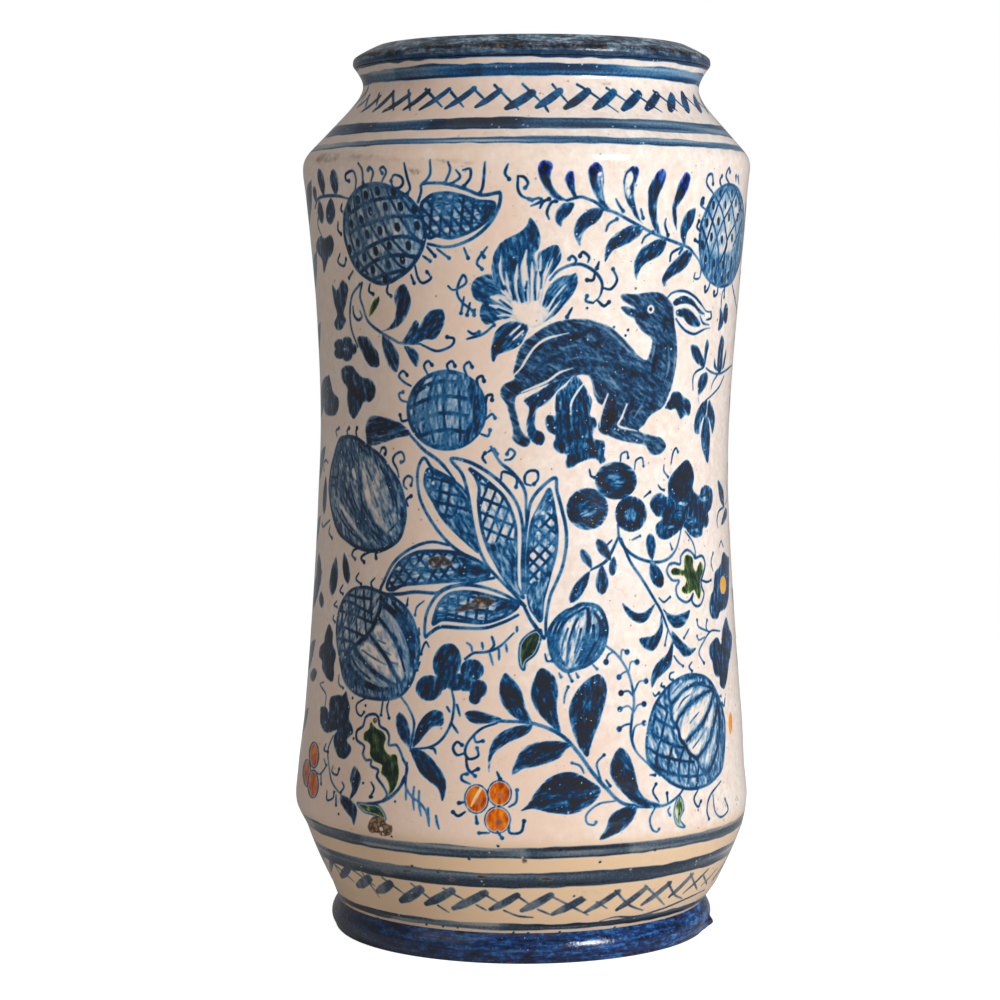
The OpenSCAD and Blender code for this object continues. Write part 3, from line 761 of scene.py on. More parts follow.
PALMETTE_VEINS = [
    [(513.5, 271), (512.5, 282.5), (513.5, 300)], [(518, 280.5), (519, 292), (521.5, 302)],
    [(527, 281.5), (525.5, 292), (526.5, 301)], [(536.5, 272), (534.5, 282.5), (535.5, 300)],
    [(511.5, 261.5), (511.5, 272)], [(528, 257.5), (528, 265)], [(495, 282.5), (501, 293.5)],
    [(485.5, 286.5), (494, 294.5)], [(485.5, 293), (490, 300.5)], [(542, 276.5), (541, 288.5)],
    [(547, 295), (543, 306)], [(552, 297), (547, 306)], [(556.5, 300), (551, 308.5)],
    [(561.5, 306.5), (553, 316)], [(500, 300), (512, 309)], [(498, 309), (511, 314)],
]
PALMETTE_RAYS = [
    ([(526.5, 250), (524, 266), (526, 286), (528, 306)], 7), ([(517.5, 264), (516, 283), (520, 304)], 4.4),
    ([(532, 262), (532.5, 283), (531.5, 304)], 4.4), ([(537.5, 268), (538.5, 284), (535.5, 304)], 4),
    ([(548, 262), (543, 282), (539, 304)], 4), ([(506, 272), (509, 290), (518, 310)], 3),
    ([(505, 290), (513, 304), (524, 320)], 6), ([(490, 297), (503, 300), (516, 312)], 9),
    ([(489, 305), (503, 309), (517, 316)], 5), ([(497, 316), (508, 315), (520, 320)], 3.4),
    ([(556, 296), (548, 308), (540, 320)], 4), ([(561, 300), (552, 311), (543, 321)], 2.6),
    ([(501, 256), (500, 270), (504, 284)], 2.4), ([(541, 256), (540, 270)], 2.6),
    ([(553, 258), (549, 268), (545, 276)], 2.4), ([(565, 285), (556, 296)], 2),
]
PALMETTE_THROAT = [
    (512, 300), (520, 303), (527, 302), (536, 300), (541, 302), (545, 308), (549, 312), (546, 320),
    (539, 326), (532, 328), (527, 326), (524, 334), (518, 320), (512, 311),
]
TENDRIL = [(550, 280), (558, 271), (571, 265), (583, 265), (595, 272), (602, 283), (600, 296), (593, 303)]
TENDRIL_CURLS = [
    [(574, 265), (576, 260), (572, 256), (569, 259)], [(588, 262), (589, 257), (583, 252), (580, 256)],
    [(595, 273), (593, 280), (587, 280)], [(603, 288), (611, 289), (617, 280), (613, 269)],
    [(593, 303), (586, 301), (587, 296)], [(598, 301), (604, 306), (609, 302)], [(572, 308), (567, 317)],
    [(599, 262), (597, 268)],
]

HOUND = [
    (622, 294), (635, 294), (651, 292), (661, 293), (668, 298), (673, 306), (674, 317), (675, 327),
    (677, 341), (677, 358), (675, 372), (672, 386), (668, 397), (663, 407), (654, 413), (649, 417),
    (644, 425), (639, 431), (654, 436), (661, 438), (666, 445), (663, 452), (657, 455), (651, 454),
    (647, 448), (644, 445), (632, 443), (619, 440), (609, 436), (602, 434), (598, 428), (600, 417),
    (603, 407), (598, 403), (594, 394), (592, 383), (588, 376), (579, 375), (566, 379), (546, 385),
    (524, 393), (517, 396), (515, 404), (518, 418), (521, 429), (524, 434), (530, 439), (529, 445),
    (524, 447), (517, 444), (512, 438), (513, 431), (510, 418), (506, 404), (501, 397), (500, 392),
    (503, 385), (514, 379), (513, 373), (515, 364), (518, 352), (524, 342), (534, 334), (546, 326),
    (559, 321), (573, 319), (587, 319), (601, 323), (612, 328), (626, 341), (637, 354), (646, 360),
    (650, 352), (652, 341), (650, 337), (643, 332), (637, 325), (634, 319), (627, 315), (622, 310),
    (621, 307), (626, 306), (634, 308), (622, 300),
]
HOUND_LINES = [
    [(522, 392), (546, 382), (559, 373), (573, 368)],
    [(513, 376), (521, 368), (527, 358), (535, 347), (546, 339), (560, 335), (569, 333)],
    [(608, 394), (603, 407), (600, 418), (600, 427)], [(627, 404), (622, 417), (619, 426), (637, 431)],
    [(584, 383), (576, 394), (571, 404), (571, 415)],
]
HOUND_LIGHTS = [
    [(673, 332), (675, 352), (672.5, 378), (663, 398)], [(668, 345), (669, 365), (664, 384)],
    [(655, 336), (654, 350), (651, 361)], [(592, 380), (595, 392), (600, 399)],
    [(610, 377), (617, 387), (626, 394)], [(637, 318), (644, 322), (652, 327)],
    [(573, 322), (598, 326), (615, 337), (632, 354), (644, 362)], [(646, 396), (640, 408), (634, 418)],
    [(632, 434), (646, 439), (656, 441)], [(560, 349), (578, 345), (595, 349)],
    [(566, 360), (584, 357), (602, 360)],
]
HOUND_DARKS = [
    ([(563, 342), (575, 337), (593, 329)], 6), ([(598, 364), (618, 367), (637, 377), (644, 385)], 12),
    ([(614, 401), (611, 416), (607, 430)], 13), ([(632, 402), (629, 414), (627, 424)], 8),
    ([(657, 348), (655, 362), (652, 374)], 7), ([(664, 315), (664, 331)], 6),
    ([(596, 343), (606, 340), (616, 341)], 8), ([(530, 352), (545, 344), (560, 342)], 6),
    ([(535, 370), (548, 360), (562, 354)], 8),
]
HOUND_LEG = [
    (525, 399), (542, 389), (556, 380), (570, 373), (572, 376), (567, 382), (559, 389), (553, 396),
    (546, 404), (537, 409), (535, 420), (536, 429), (542, 432), (545, 438), (542, 445), (535, 444),
    (530, 439), (527, 432), (526, 425), (528, 415), (529, 408), (525, 403),
]
HOUND_TUFT = [
    (572, 377), (576, 375), (581, 380), (588, 392), (592, 401), (590, 415), (595, 418), (597, 425),
    (593, 434), (595, 439), (604, 441), (605, 449), (604, 456), (606, 460), (601, 464), (595, 459),
    (587, 460), (579, 463), (573, 467), (567, 468), (565, 462), (567, 455), (559, 453), (553, 446),
    (555, 436), (548, 431), (545, 421), (548, 415), (555, 415), (555, 404), (557, 393), (566, 386),
]
HOUND_PAW = [
    (673, 392), (679, 392), (684, 397), (689, 400), (691, 406), (690, 414), (688, 416), (685, 415),
    (683, 418), (680, 419), (678, 414), (675, 409), (671, 410), (666, 409), (665, 407), (669, 400),
]
HOUND_EARS = [
    [(673, 302), (679, 297), (686, 296), (693, 300), (699, 308), (705, 314), (700, 314), (694, 307),
     (688, 304), (681, 304), (675, 306)],
    [(676, 311), (683, 308), (689, 309), (695, 315), (700, 322), (700, 326), (694, 327), (688, 324),
     (683, 318), (677, 316)],
]
HOUND_EAR_LINES = [
    [(668, 297), (672, 293), (679, 291), (687, 292), (695, 297), (701, 304), (706, 311), (711, 312)],
    [(676, 319), (680, 325), (686, 331), (694, 334), (701, 331), (705, 329), (710, 328)],
    [(700, 316), (703, 323), (709, 325)], [(711, 312), (711, 318), (706, 320)],
]
HOUND_EYE = (650.7, 309.2)
RIGHT_LEAVES = [
    [(691, 345), (696, 345), (700, 350), (705, 362), (704, 368), (700, 366), (694, 360), (691, 351)],
    [(707, 339), (709, 345), (707, 355), (705, 365), (704, 358), (705, 347)],
    [(706, 372), (708, 375), (707, 384), (702, 392), (698, 397), (699, 403), (698, 392), (698, 382),
     (701, 375)],
    [(722, 335), (724, 341), (723, 353), (722, 368), (719, 374), (717, 368), (718, 351), (720, 340)],
    [(715, 358), (716, 365), (718, 371), (714, 368), (714, 361)],
    [(726, 349), (726, 355), (724, 367), (722, 369)],
    [(726, 303), (728, 309), (727, 321), (725, 324), (723, 317), (724, 308)],
    [(720, 308), (723, 314), (723, 324), (720, 330), (718, 330), (719, 321)],
    [(707, 400), (701, 404), (696, 414), (694, 426), (695, 433), (699, 434), (700, 427), (703, 418),
     (706, 414)],
    [(709, 400), (713, 408), (715, 418), (714, 428), (712, 434), (711, 427), (709, 419), (707, 414)],
    [(706, 414), (709, 422), (710, 433), (710, 440), (708, 463), (703, 452), (701, 440), (701, 433),
     (703, 422)], [(718, 480), (723, 489), (724, 502), (724, 508), (720, 500), (718, 488)],
    [(726, 507), (727, 515), (724, 523), (721, 525), (723, 515)],
]
RIGHT_STEMS = [
    [(706, 368), (711, 372), (718, 374), (725, 371), (732, 365)],
    [(703, 368), (696, 372), (693, 378), (693, 390)], [(724, 376), (719, 387), (711, 396), (706, 400)],
    [(725, 287), (722, 295), (721, 309)], [(718, 374), (713, 382), (711, 389)],
    [(726, 480), (727, 497), (725, 505)], [(724, 507), (719, 511), (717, 520), (718, 528)],
    [(735, 300), (737, 314), (734, 340)],
]
BERRIES = [((616, 480.6), (21, 19)), ((587.4, 509), (21, 21)), ((631, 514), (16, 18))]
DARK_FLOWER = [
    (686, 460), (692, 466), (694, 477), (693, 489), (699, 495), (701, 489), (705, 485), (711, 488),
    (713, 496), (711, 508), (708, 513), (709, 519), (707, 527), (703, 528), (702, 535), (696, 538),
    (690, 535), (684, 528), (676, 534), (668, 539), (661, 539), (656, 533), (656, 525), (662, 518),
    (656, 516), (651, 509), (650, 502), (654, 495), (661, 493), (667, 497), (668, 490), (668, 482),
    (672, 474), (679, 466),
]
DARK_FLOWER_LIGHTS = [(661, 502), (670, 527), (678, 514), (689, 521), (695, 531), (704, 499), (683, 503)]
DARK_PETAL = [
    (686, 460), (692, 468), (693, 480), (690, 492), (683, 500), (674, 502), (670, 494), (669, 482),
    (673, 474),
]
FLOWER_STEMS = [
    [(618, 525), (619, 537), (624, 547), (636, 557), (652, 562), (666, 560), (676, 549), (682, 526)],
    [(618, 538), (611, 553), (605, 562), (591, 570)],
    [(621, 539), (630, 561), (642, 579), (654, 599), (661, 611), (668, 629), (673, 640)],
]
FLOWER_LEAVES = [
    ((581, 549), (592, 569), 9), ((597, 539), (611, 561), 11), ((612, 576), (614, 556), 8),
    ((570, 603), (590, 571), 12), ((602, 595), (602, 565), 13), ((650, 533), (652, 561), 10),
    ((661, 588), (651, 561), 13),
]
CRESCENTS = [
    [(622, 603), (628, 616), (639, 623), (648, 619), (655, 604), (646, 611), (638, 613), (630, 609)],
    [(663, 609), (670, 624), (676, 628), (683, 626), (688, 619), (690, 610), (685, 612), (676, 615),
     (668, 613)],
    [(661, 615), (663, 621), (662, 635), (657, 647), (651, 651), (643, 647), (639, 639), (646, 637),
     (654, 635), (659, 626)],
    [(672, 631), (681, 640), (690, 648), (696, 648), (692, 654), (685, 657), (679, 651), (673, 642)],
    [(673, 637), (673, 651), (671, 665), (665, 672), (657, 680), (652, 688), (651, 679), (654, 668),
     (660, 660), (668, 652)],
]
FLOWER_TICKS = [
    [(668, 629), (665, 645)], [(689, 629), (684, 638)], [(674, 656), (678, 662), (683, 666)],
    [(604, 486), (598, 480)], [(644, 497), (650, 492)], [(612, 540), (606, 546)], [(632, 540), (640, 536)],
    [(670, 543), (672, 549)], [(664, 465), (664, 471), (668, 477)], [(658, 485), (661, 489), (664, 490)],
    [(671, 464), (673, 453), (676, 448), (678, 452)], [(685, 531), (692, 541), (695, 550), (695, 556)],
    [(701, 580), (707, 582), (711, 580)], [(713, 571), (711, 562), (713, 553)],
    [(719, 547), (721, 541), (723, 546)], [(659, 598), (664, 602), (670, 597)],
    [(620.5, 461), (621.5, 454), (627, 452), (628, 457.5)],
    [(634.5, 469.5), (636, 460.5), (642, 458), (643.5, 466)], [(589.5, 469.5), (591, 476), (594.5, 477.5)],
]
GREEN_FLOWER = [
    (680, 564), (681, 556), (687, 550), (693, 554), (695, 558), (702, 556), (705, 564), (703, 574),
    (701, 581), (702, 588), (704, 594), (701, 604), (696, 606), (692, 601), (693, 594), (690, 600),
    (685, 602), (678, 597), (676, 588), (679, 581), (672, 580), (667, 572), (669, 565), (674, 563),
]
GREEN_HEART = [
    (685, 556), (689, 555), (693, 559), (693, 566), (696, 571), (699, 563), (701, 562), (703, 566),
    (703, 574), (701, 582), (701, 593), (699, 599), (696, 594), (694, 590), (690, 593), (686, 594),
    (682, 592), (682, 588), (686, 583), (685, 577), (679, 575), (673, 575), (671, 571), (674, 568),
    (680, 569), (684, 570), (684, 563),
]
EDGE_FLOWER = [
    (724, 552), (727, 556), (729, 558), (729, 572), (729, 589), (728, 601), (725, 609), (720, 612),
    (718, 618), (713, 619), (710, 614), (709, 608), (710, 597), (713, 590), (714, 578), (715, 572),
    (719, 567), (721, 562), (722, 555),
]
EDGE_HEART = ((723, 585), (3, 9))

LOBED_LEAF = [
    (329, 624), (333, 633), (333, 644), (336, 654), (334, 666), (334, 675), (332, 682), (326, 677),
    (322, 668), (322, 661), (319, 656), (320, 647), (324, 642), (325, 635),
]
EDGE_DAB = [(310, 675), (314, 668), (317, 673), (313, 682)]
LEFT_TREFOIL = [
    (331, 697), (337, 695), (343, 695), (346, 691), (348, 698), (350, 708), (349, 718), (352, 726),
    (353, 733), (347, 740), (351, 747), (350, 754), (344, 759), (338, 756), (334, 746), (334, 736),
    (337, 730), (327, 733), (321, 726), (320, 714), (321, 707), (326, 707), (329, 712), (329, 704),
]
LEFT_LOW_STEMS = [
    [(325, 706), (326, 695), (322, 688), (320, 684), (324, 682)],
    [(333, 736), (328, 750), (329, 766), (332, 782), (341, 795)], [(327, 765), (320, 774), (314, 770)],
]
LEFT_LOW_CURLS = [
    [(326, 744), (324, 750), (328, 752)], [(324, 759), (326, 765)],
    [(333, 766), (332, 772), (337, 775), (339, 769)], [(321, 774), (321, 784)],
    [(327, 791), (327, 800), (333, 798), (334, 792)], [(342, 782), (344, 787), (341, 792)],
    [(336, 795), (336, 805)], [(371, 782), (374, 789), (370, 797)],
]
LEFT_BERRIES = [((314, 755), (3.8, 12)), ((307, 773), (3, 12.5)), ((313, 784), (4.5, 13))]

FRUIT_FOUR = [
    (364.5, 587), (373, 589), (383, 593), (394, 598), (404, 606), (412, 617.5), (416, 629), (419, 642.5),
    (418.5, 656), (415.5, 669), (412, 681), (405.5, 691), (397.5, 697), (387, 699.5), (375, 699),
    (364.5, 697), (354.5, 692.5), (347.5, 685.5), (343, 676.5), (341, 666), (339, 654), (337, 642.5),
    (336.5, 630), (337.5, 617.5), (340, 607), (345, 597), (351, 590.5), (357, 588),
]
FRUIT_FOUR_NET = [
    (379.5, 592.5), (380, 607), (379, 615.5), (372.5, 623), (367, 634.5), (356.5, 644), (348.5, 650.5),
    (339.5, 650.5), (337, 642.5), (336.5, 630), (337.5, 617.5), (340.5, 607), (345, 597), (351, 590.5),
    (357, 588), (364.5, 587), (373, 589),
]
FRUIT_FOUR_GRID = [
    [(349, 594), (348.5, 611), (349, 629), (350, 641)], [(343, 602), (342, 620), (343, 638), (345, 648)],
    [(355.5, 591.5), (355.5, 609.5), (356.5, 624.5), (357, 637)],
    [(363.5, 590.5), (364.5, 609.5), (366, 632)], [(371.5, 591.5), (371, 607), (371.5, 622)],
    [(344, 601), (352, 603), (360, 607.5), (372.5, 614)],
    [(340, 611), (351, 613.5), (360, 617.5), (372.5, 623)],
    [(337.5, 626.5), (346.5, 628), (355.5, 632.5), (366, 637)],
    [(338.5, 638.5), (346.5, 640.5), (354.5, 644)], [(346.5, 593.5), (357, 597), (371, 599)],
]
FRUIT_FOUR_CELLS = [
    ([(378, 624), (373.5, 628), (372, 633.5), (374.5, 639), (381.5, 648), (387.5, 657.5), (393, 668.5),
      (397.5, 676.5), (401, 681), (405.5, 673), (404, 660.5), (399, 649.5), (393, 638), (386, 629)], 0.1),
    ([(368, 640), (362, 644), (358.5, 649.5), (362, 656), (370.5, 665.5), (381.5, 675.5), (390.5, 681),
      (396.5, 682.5), (392, 673), (386, 660.5), (379, 650.5), (372.5, 643.5)], 0.12),
    ([(350, 654), (355.5, 656), (364.5, 665.5), (375, 675.5), (387.5, 683.5), (394, 687), (383, 687),
      (372.5, 685.5), (362, 676.5), (353, 665.5)], 0.4),
    ([(381.5, 609.5), (385, 619), (392, 630), (399, 641.5), (404.5, 656), (406.5, 669), (411, 670),
      (411, 656), (406.5, 638), (399, 623), (390.5, 611)], 0.36),
]
FRUIT_FOUR_LINES = [
    ([(381, 597), (380, 609), (376, 620), (369, 633), (357, 644), (349, 650), (340, 651)], 4.4),
    ([(370, 635), (378, 646), (386, 657.5), (392, 669), (399.5, 682)], 4.2),
    ([(378, 617), (388.5, 631), (396.5, 644), (401, 657.5), (404.5, 671)], 3.8),
    ([(354, 648), (364.5, 662), (375, 673), (388.5, 681), (396.5, 685.5)], 4.2),
    ([(382, 602), (396, 615.5), (404.5, 630), (411, 648), (412, 666)], 7),
    ([(393, 603), (406, 620), (413, 640), (414.5, 658)], 4),
    ([(346, 655), (351, 669), (361, 681), (372.5, 687), (383, 690)], 7),
    ([(351, 656), (358, 668), (370, 679)], 2.6),
]
FRUIT_FOUR_STREAKS = [
    [(362, 650), (372, 657), (386, 665)], [(378, 640), (386, 644)], [(383, 651), (391, 655)],
    [(389, 662), (398, 664)],
]
FRUIT_FOUR_CURLS = [
    [(366, 698), (357, 704), (357, 712), (361, 716), (364, 712)], [(383, 700), (381, 715)],
    [(389, 700), (387, 708), (389, 718)], [(343, 585), (340, 591), (343, 594)],
    [(337, 601), (334, 605), (337, 607)], [(334, 615), (333, 619), (335, 622)],
    [(339, 675), (339, 684), (343, 688)], [(359, 573), (356, 579), (361, 584)],
    [(375, 578), (371, 583), (373, 589)], [(408, 598), (407, 605)], [(424, 601), (417, 607), (415, 615)],
    [(419, 628), (419, 634)], [(429, 647), (426, 642), (423, 647), (421, 654)], [(420, 662), (417, 670)],
]
FRUIT_FOUR_STEM = [(401, 697), (408, 707), (414, 722), (412, 739), (410, 751)]

FLOWER_LOBES = [
    ((447, 662), (14, 19), 12), ((472, 670), (12, 11), 0), ((429, 688), (13.5, 13), 0),
    ((478, 689), (9.5, 9.5), 0), ((475, 698), (6.5, 6.5), 0), ((456, 682), (11, 9), 0),
    ((464, 683), (12, 8), 20), ((440, 683), (9, 8), 0),
]
FLOWER_SPRIG = [
    [(465, 659), (474, 653), (486, 652), (499, 647), (514, 633)], [(467, 643), (471, 646), (472, 651)],
    [(482, 643), (483, 649)], [(492, 637), (494, 645), (490, 650)], [(499, 650), (499, 660)],
    [(490, 654), (493, 665)], [(506, 645), (507, 652)], [(517, 627), (517, 632)],
    [(452, 691), (454, 704), (451, 723), (442, 739), (430, 747), (412, 749)], [(452, 724), (458, 733)],
    [(447, 707), (450, 712)], [(457, 705), (460, 716)], [(430, 748), (434, 749), (436, 754)],
]
LOW_LEAVES = [((399, 712), (410, 749), 12.8, 0.02)]
LOW_SHAPES = [
    [(413, 748), (416, 730), (423, 717), (433, 710), (442, 712), (444, 719), (442, 726), (433, 727),
     (425, 735)],
    [(411, 750), (423, 751), (434, 761), (442, 772), (446, 782), (445, 795), (442, 801), (438, 789),
     (430, 782), (421, 774), (415, 763)],
    [(354, 766), (359, 772), (361, 779), (357, 791), (352, 798), (349, 800), (352, 789), (350, 779)],
    [(341, 795), (347, 797), (354, 803), (357, 811), (354, 825), (351, 818), (344, 809), (340, 801)],
]
LOW_RUNGS = [
    [(407, 763), (406, 777), (406, 787), (412, 797), (420, 803), (426, 812), (429, 826)],
    [(406, 787), (406, 800)], [(414, 787), (413, 799), (414, 810)], [(419, 791), (419, 804), (421, 816)],
    [(428, 808), (429, 826)], [(436, 816), (437, 823), (439, 829)],
]
SCALLOPED = [
    (373, 714), (378, 717), (380, 726), (386, 730), (389, 736), (389, 745), (396, 745), (400, 751),
    (403, 759), (407, 768), (405, 777), (400, 787), (392, 795), (383, 801), (387, 795), (383, 786),
    (377, 777), (378, 770), (371, 766), (371, 760), (366, 760), (363, 754), (364, 746), (357, 740),
    (357, 731), (363, 726), (366, 717),
]
SCALLOPED_GREEN = [
    (371, 722), (376, 728), (383, 732), (386, 738), (384, 747), (388, 754), (396, 755), (398, 764),
    (399, 773), (396, 786), (388, 797), (389, 787), (386, 778), (381, 773), (382, 765), (374, 761),
    (370, 754), (370, 744), (364, 740), (364, 733), (369, 729),
]
LOW_GREEN = [(357, 803), (366, 804), (377, 805), (383, 811), (386, 819), (383, 820), (374, 815), (364, 812)]
FLAKED = [
    (368, 825), (374, 816), (382, 818), (387, 824), (392, 826), (391, 834), (383, 836), (377, 833),
    (370, 832),
]
FLAKED_PALE = [((381, 829), 2.4), ((383, 834), 1.6), ((379, 834), 1.4)]
BROWN_SPOT = (375, 720.5)
GREEN_STEM = [(404, 777), (398, 790), (388, 799), (374, 803), (358, 803)]

FRUIT_FIVE = [
    (583.5, 604), (591.5, 604.5), (598, 607), (602.5, 612.5), (605.5, 620), (607, 629), (606, 638.5),
    (604, 646.5), (600, 654), (594, 660.5), (587.5, 665), (581, 667.5), (574.5, 669.5), (568, 671.5),
    (562, 669), (556, 663), (552, 655.5), (549.5, 646.5), (549, 637), (550, 629.5), (553.5, 623),
    (558.5, 617), (565.5, 611.5), (573.5, 608.5), (578.5, 605),
]
FRUIT_FIVE_STRIPES = [
    ([(580, 606), (565.5, 614), (557.5, 624.5), (554, 636), (554, 647.5), (558, 658), (564.5, 665.5)], 3),
    ([(585, 608), (571, 616), (562.5, 624.5), (558, 635), (557, 645), (558.5, 654), (564, 663)], 3.4),
    ([(568, 628.5), (564, 638.5), (562, 649.5), (562, 655.5)], 2),
    ([(578, 618), (573, 628.5), (569, 641), (567.5, 653), (567, 663)], 2.6),
    ([(581, 629), (579, 638.5), (576, 648.5), (574.5, 653)], 3),
    ([(588, 609), (589, 620.5), (587.5, 632), (584.5, 646.5), (580, 656.5), (576, 663)], 5),
    ([(593.5, 626), (593.5, 635), (590, 646.5), (584.5, 656.5), (579, 664.5)], 4.4),
    ([(595, 613), (600, 622), (600.5, 633.5), (597, 646.5), (591, 656), (583, 665)], 4),
    ([(602, 620.5), (603.5, 631), (601, 642.5)], 3),
]
FRUIT_FIVE_PALE = [
    [(574, 614), (578, 617), (572, 630), (568, 645), (566, 662), (563, 661), (560, 650), (560, 637),
     (564, 625)],
    [(585, 613), (585, 625), (581, 640), (576, 654), (571, 663), (570, 653), (574, 640), (578, 626)],
]
FRUIT_FIVE_DARK = [(601, 643), (597, 652), (590, 659), (584, 663), (581, 660), (588, 650), (595, 640)]
FRUIT_FIVE_CURLS = [
    [(559, 673), (561, 677)], [(568, 673), (572, 681)], [(576, 673), (578, 677)],
    [(545, 654), (547, 661), (552, 661)], [(593, 665), (597, 669)], [(533, 621), (540, 632), (544, 638)],
]
MIDDLE_GREEN = [
    (541, 630), (530, 633), (521, 642), (519, 654), (520, 665), (524, 670), (526, 662), (535, 654),
    (540, 642),
]
DOTTED_STEM = [
    (605, 645), (618, 656), (627, 670), (632, 686), (634, 702), (632, 718), (631, 735), (636, 751),
    (648, 764), (660, 776),
]
DOTTED_BUDS = [
    [(613, 652), (608, 655), (606, 662)], [(628, 671), (623, 673), (619, 677)],
    [(633, 696), (628, 691), (621, 693)], [(633, 711), (628, 706), (620, 709)],
    [(631, 724), (625, 725), (619, 729)], [(621, 658), (622, 650), (627, 652)],
    [(629, 671), (631, 662), (637, 662)], [(634, 693), (639, 682), (646, 681)],
    [(634, 712), (638, 705), (644, 704)], [(632, 742), (635, 727), (644, 723)],
]
SPRAY_STEM = [
    (497, 721), (524, 722), (535, 724), (552, 730), (566, 739), (580, 755), (592, 772), (606, 788),
    (625, 804), (661, 806), (677, 797), (684, 788),
]
SPRAY = [
    [(505, 673), (500, 683), (500, 699), (510, 714), (524, 722), (532, 723), (526, 707), (521, 690),
     (513, 679)],
    [(541, 668), (554, 676), (558, 690), (557, 711), (561, 732), (549, 724), (537, 711), (531, 697),
     (533, 682)],
    [(598, 674), (606, 683), (606, 699), (599, 724), (592, 742), (587, 757), (575, 739), (569, 715),
     (572, 699), (583, 683)],
    [(465, 713), (474, 710), (486, 713), (502, 719), (490, 723), (476, 724), (468, 720)],
    [(532, 725), (513, 727), (496, 736), (490, 748), (488, 762), (489, 773), (492, 757), (499, 749),
     (510, 742), (527, 734)],
    [(571, 745), (559, 741), (538, 742), (524, 748), (516, 760), (512, 775), (524, 769), (538, 766),
     (558, 759), (566, 750)],
    [(601, 790), (589, 780), (572, 772), (552, 776), (537, 790), (528, 804), (521, 811), (533, 809),
     (552, 813), (573, 814), (592, 804)],
    [(619, 748), (629, 755), (635, 772), (639, 789), (647, 799), (662, 805), (655, 808), (638, 806),
     (625, 795), (613, 781), (610, 766)],
    [(637, 807), (625, 807), (611, 815), (606, 828), (600, 840), (620, 832), (632, 821)],
]
SPRAY_CURLS = [
    [(603, 787), (599, 774), (597, 763), (604, 755)], [(584, 773), (580, 766), (572, 763)],
    [(615, 801), (599, 804), (587, 814), (587, 823), (594, 825), (596, 822)], [(606, 780), (610, 786)],
    [(564, 703), (565, 695), (568, 687)], [(659, 802), (653, 792), (656, 784)], [(668, 803), (667, 793)],
    [(655, 808), (650, 819), (652, 829), (657, 832), (659, 829)], [(670, 807), (668, 811), (670, 815)],
    [(698, 790), (694, 799), (698, 807), (701, 801)], [(721, 781), (710, 796), (707, 810), (709, 819)],
    [(713, 795), (715, 811), (721, 817), (728, 810), (725, 799)],
]
SPIRALS = [
    [(497, 723), (481, 729), (469, 741), (465, 752), (469, 759), (478, 756), (477, 748)],
    [(465, 753), (457, 755), (453, 748), (457, 742), (462, 745)], [(474, 736), (476, 742), (483, 741)],
    [(466, 759), (468, 769), (475, 776)], [(472, 772), (478, 769)],
    [(470, 784), (462, 780), (462, 775), (467, 774)],
]
ORANGE_BERRIES = [((476.5, 799), (11, 13.5)), ((499.6, 793.3), (11, 12)), ((497.5, 820), (12, 12.5))]
BERRY_HOOKS = [
    [(465, 802), (459, 803)], [(465, 812), (458, 816), (453, 812)], [(509, 807), (516, 802), (517, 790)],
    [(509, 826), (510, 833), (521, 832), (524, 821)], [(489, 833), (479, 833)], [(497, 831), (502, 838)],
    [(476, 816), (477, 823)], [(497, 772), (500, 779)],
]
GLAZE_STREAK = [(487, 779), (480, 790), (471, 806)]

RIGHT_TREFOIL = [
    (726, 617), (729, 627), (732, 637), (731, 653), (729, 663), (727, 679), (724, 689), (720, 685),
    (719, 677), (716, 677), (713, 668), (712, 662), (709, 654), (710, 645), (717, 637), (721, 644),
    (722, 632),
]
RIGHT_SPRIG = [
    [(720, 631), (711, 631), (704, 641), (699, 652), (702, 660), (704, 663)],
    [(710, 632), (699, 627), (697, 620)], [(707, 630), (706, 626), (707, 620)],
    [(705, 637), (699, 640), (697, 636)],
]
FRUIT_SIX = [
    (694, 674.5), (704, 676.5), (711, 682.5), (716, 691), (721, 704), (724.5, 720), (725, 735), (724, 755),
    (722, 768), (718, 775), (710, 783), (700, 787.5), (690, 789), (680, 787), (670, 782), (660, 773),
    (651, 766), (647.5, 758), (646.5, 746), (647.5, 734), (650, 720), (655, 705), (662, 694), (669, 686),
    (678, 679), (686, 675.5),
]
FRUIT_SIX_NET = [
    (668.5, 686.5), (669, 698), (671, 705), (671, 716), (674.5, 724), (678.5, 730), (680, 738), (685, 745),
    (689, 753), (694.5, 757), (698, 761), (701, 768), (708, 773), (710, 783), (700, 787), (690, 789),
    (680, 787), (670, 782), (660, 773), (651, 766), (647.5, 758), (646.5, 746), (647.5, 734), (650, 720),
    (655, 705), (662, 694),
]
FRUIT_SIX_GRID = [
    [(657, 704), (663, 707), (668, 712)], [(654, 716), (663, 723), (674, 728)],
    [(652, 733), (660, 739), (673, 745), (684, 748)],
    [(649, 748), (657, 754), (669, 758), (682, 761), (694, 762)],
    [(651, 764), (660, 769), (673, 774), (683, 776), (696, 776), (708, 773)],
    [(667.5, 712), (661, 738), (657, 754), (656.5, 766)], [(673, 744), (669.5, 758), (667.5, 775)],
    [(684, 748), (680, 761), (678.5, 775), (680, 781)], [(690, 756), (689, 768), (688, 783)],
    [(699, 762), (698, 775), (696.5, 786)], [(709, 773), (710, 781)], [(655, 714), (652, 733)],
]
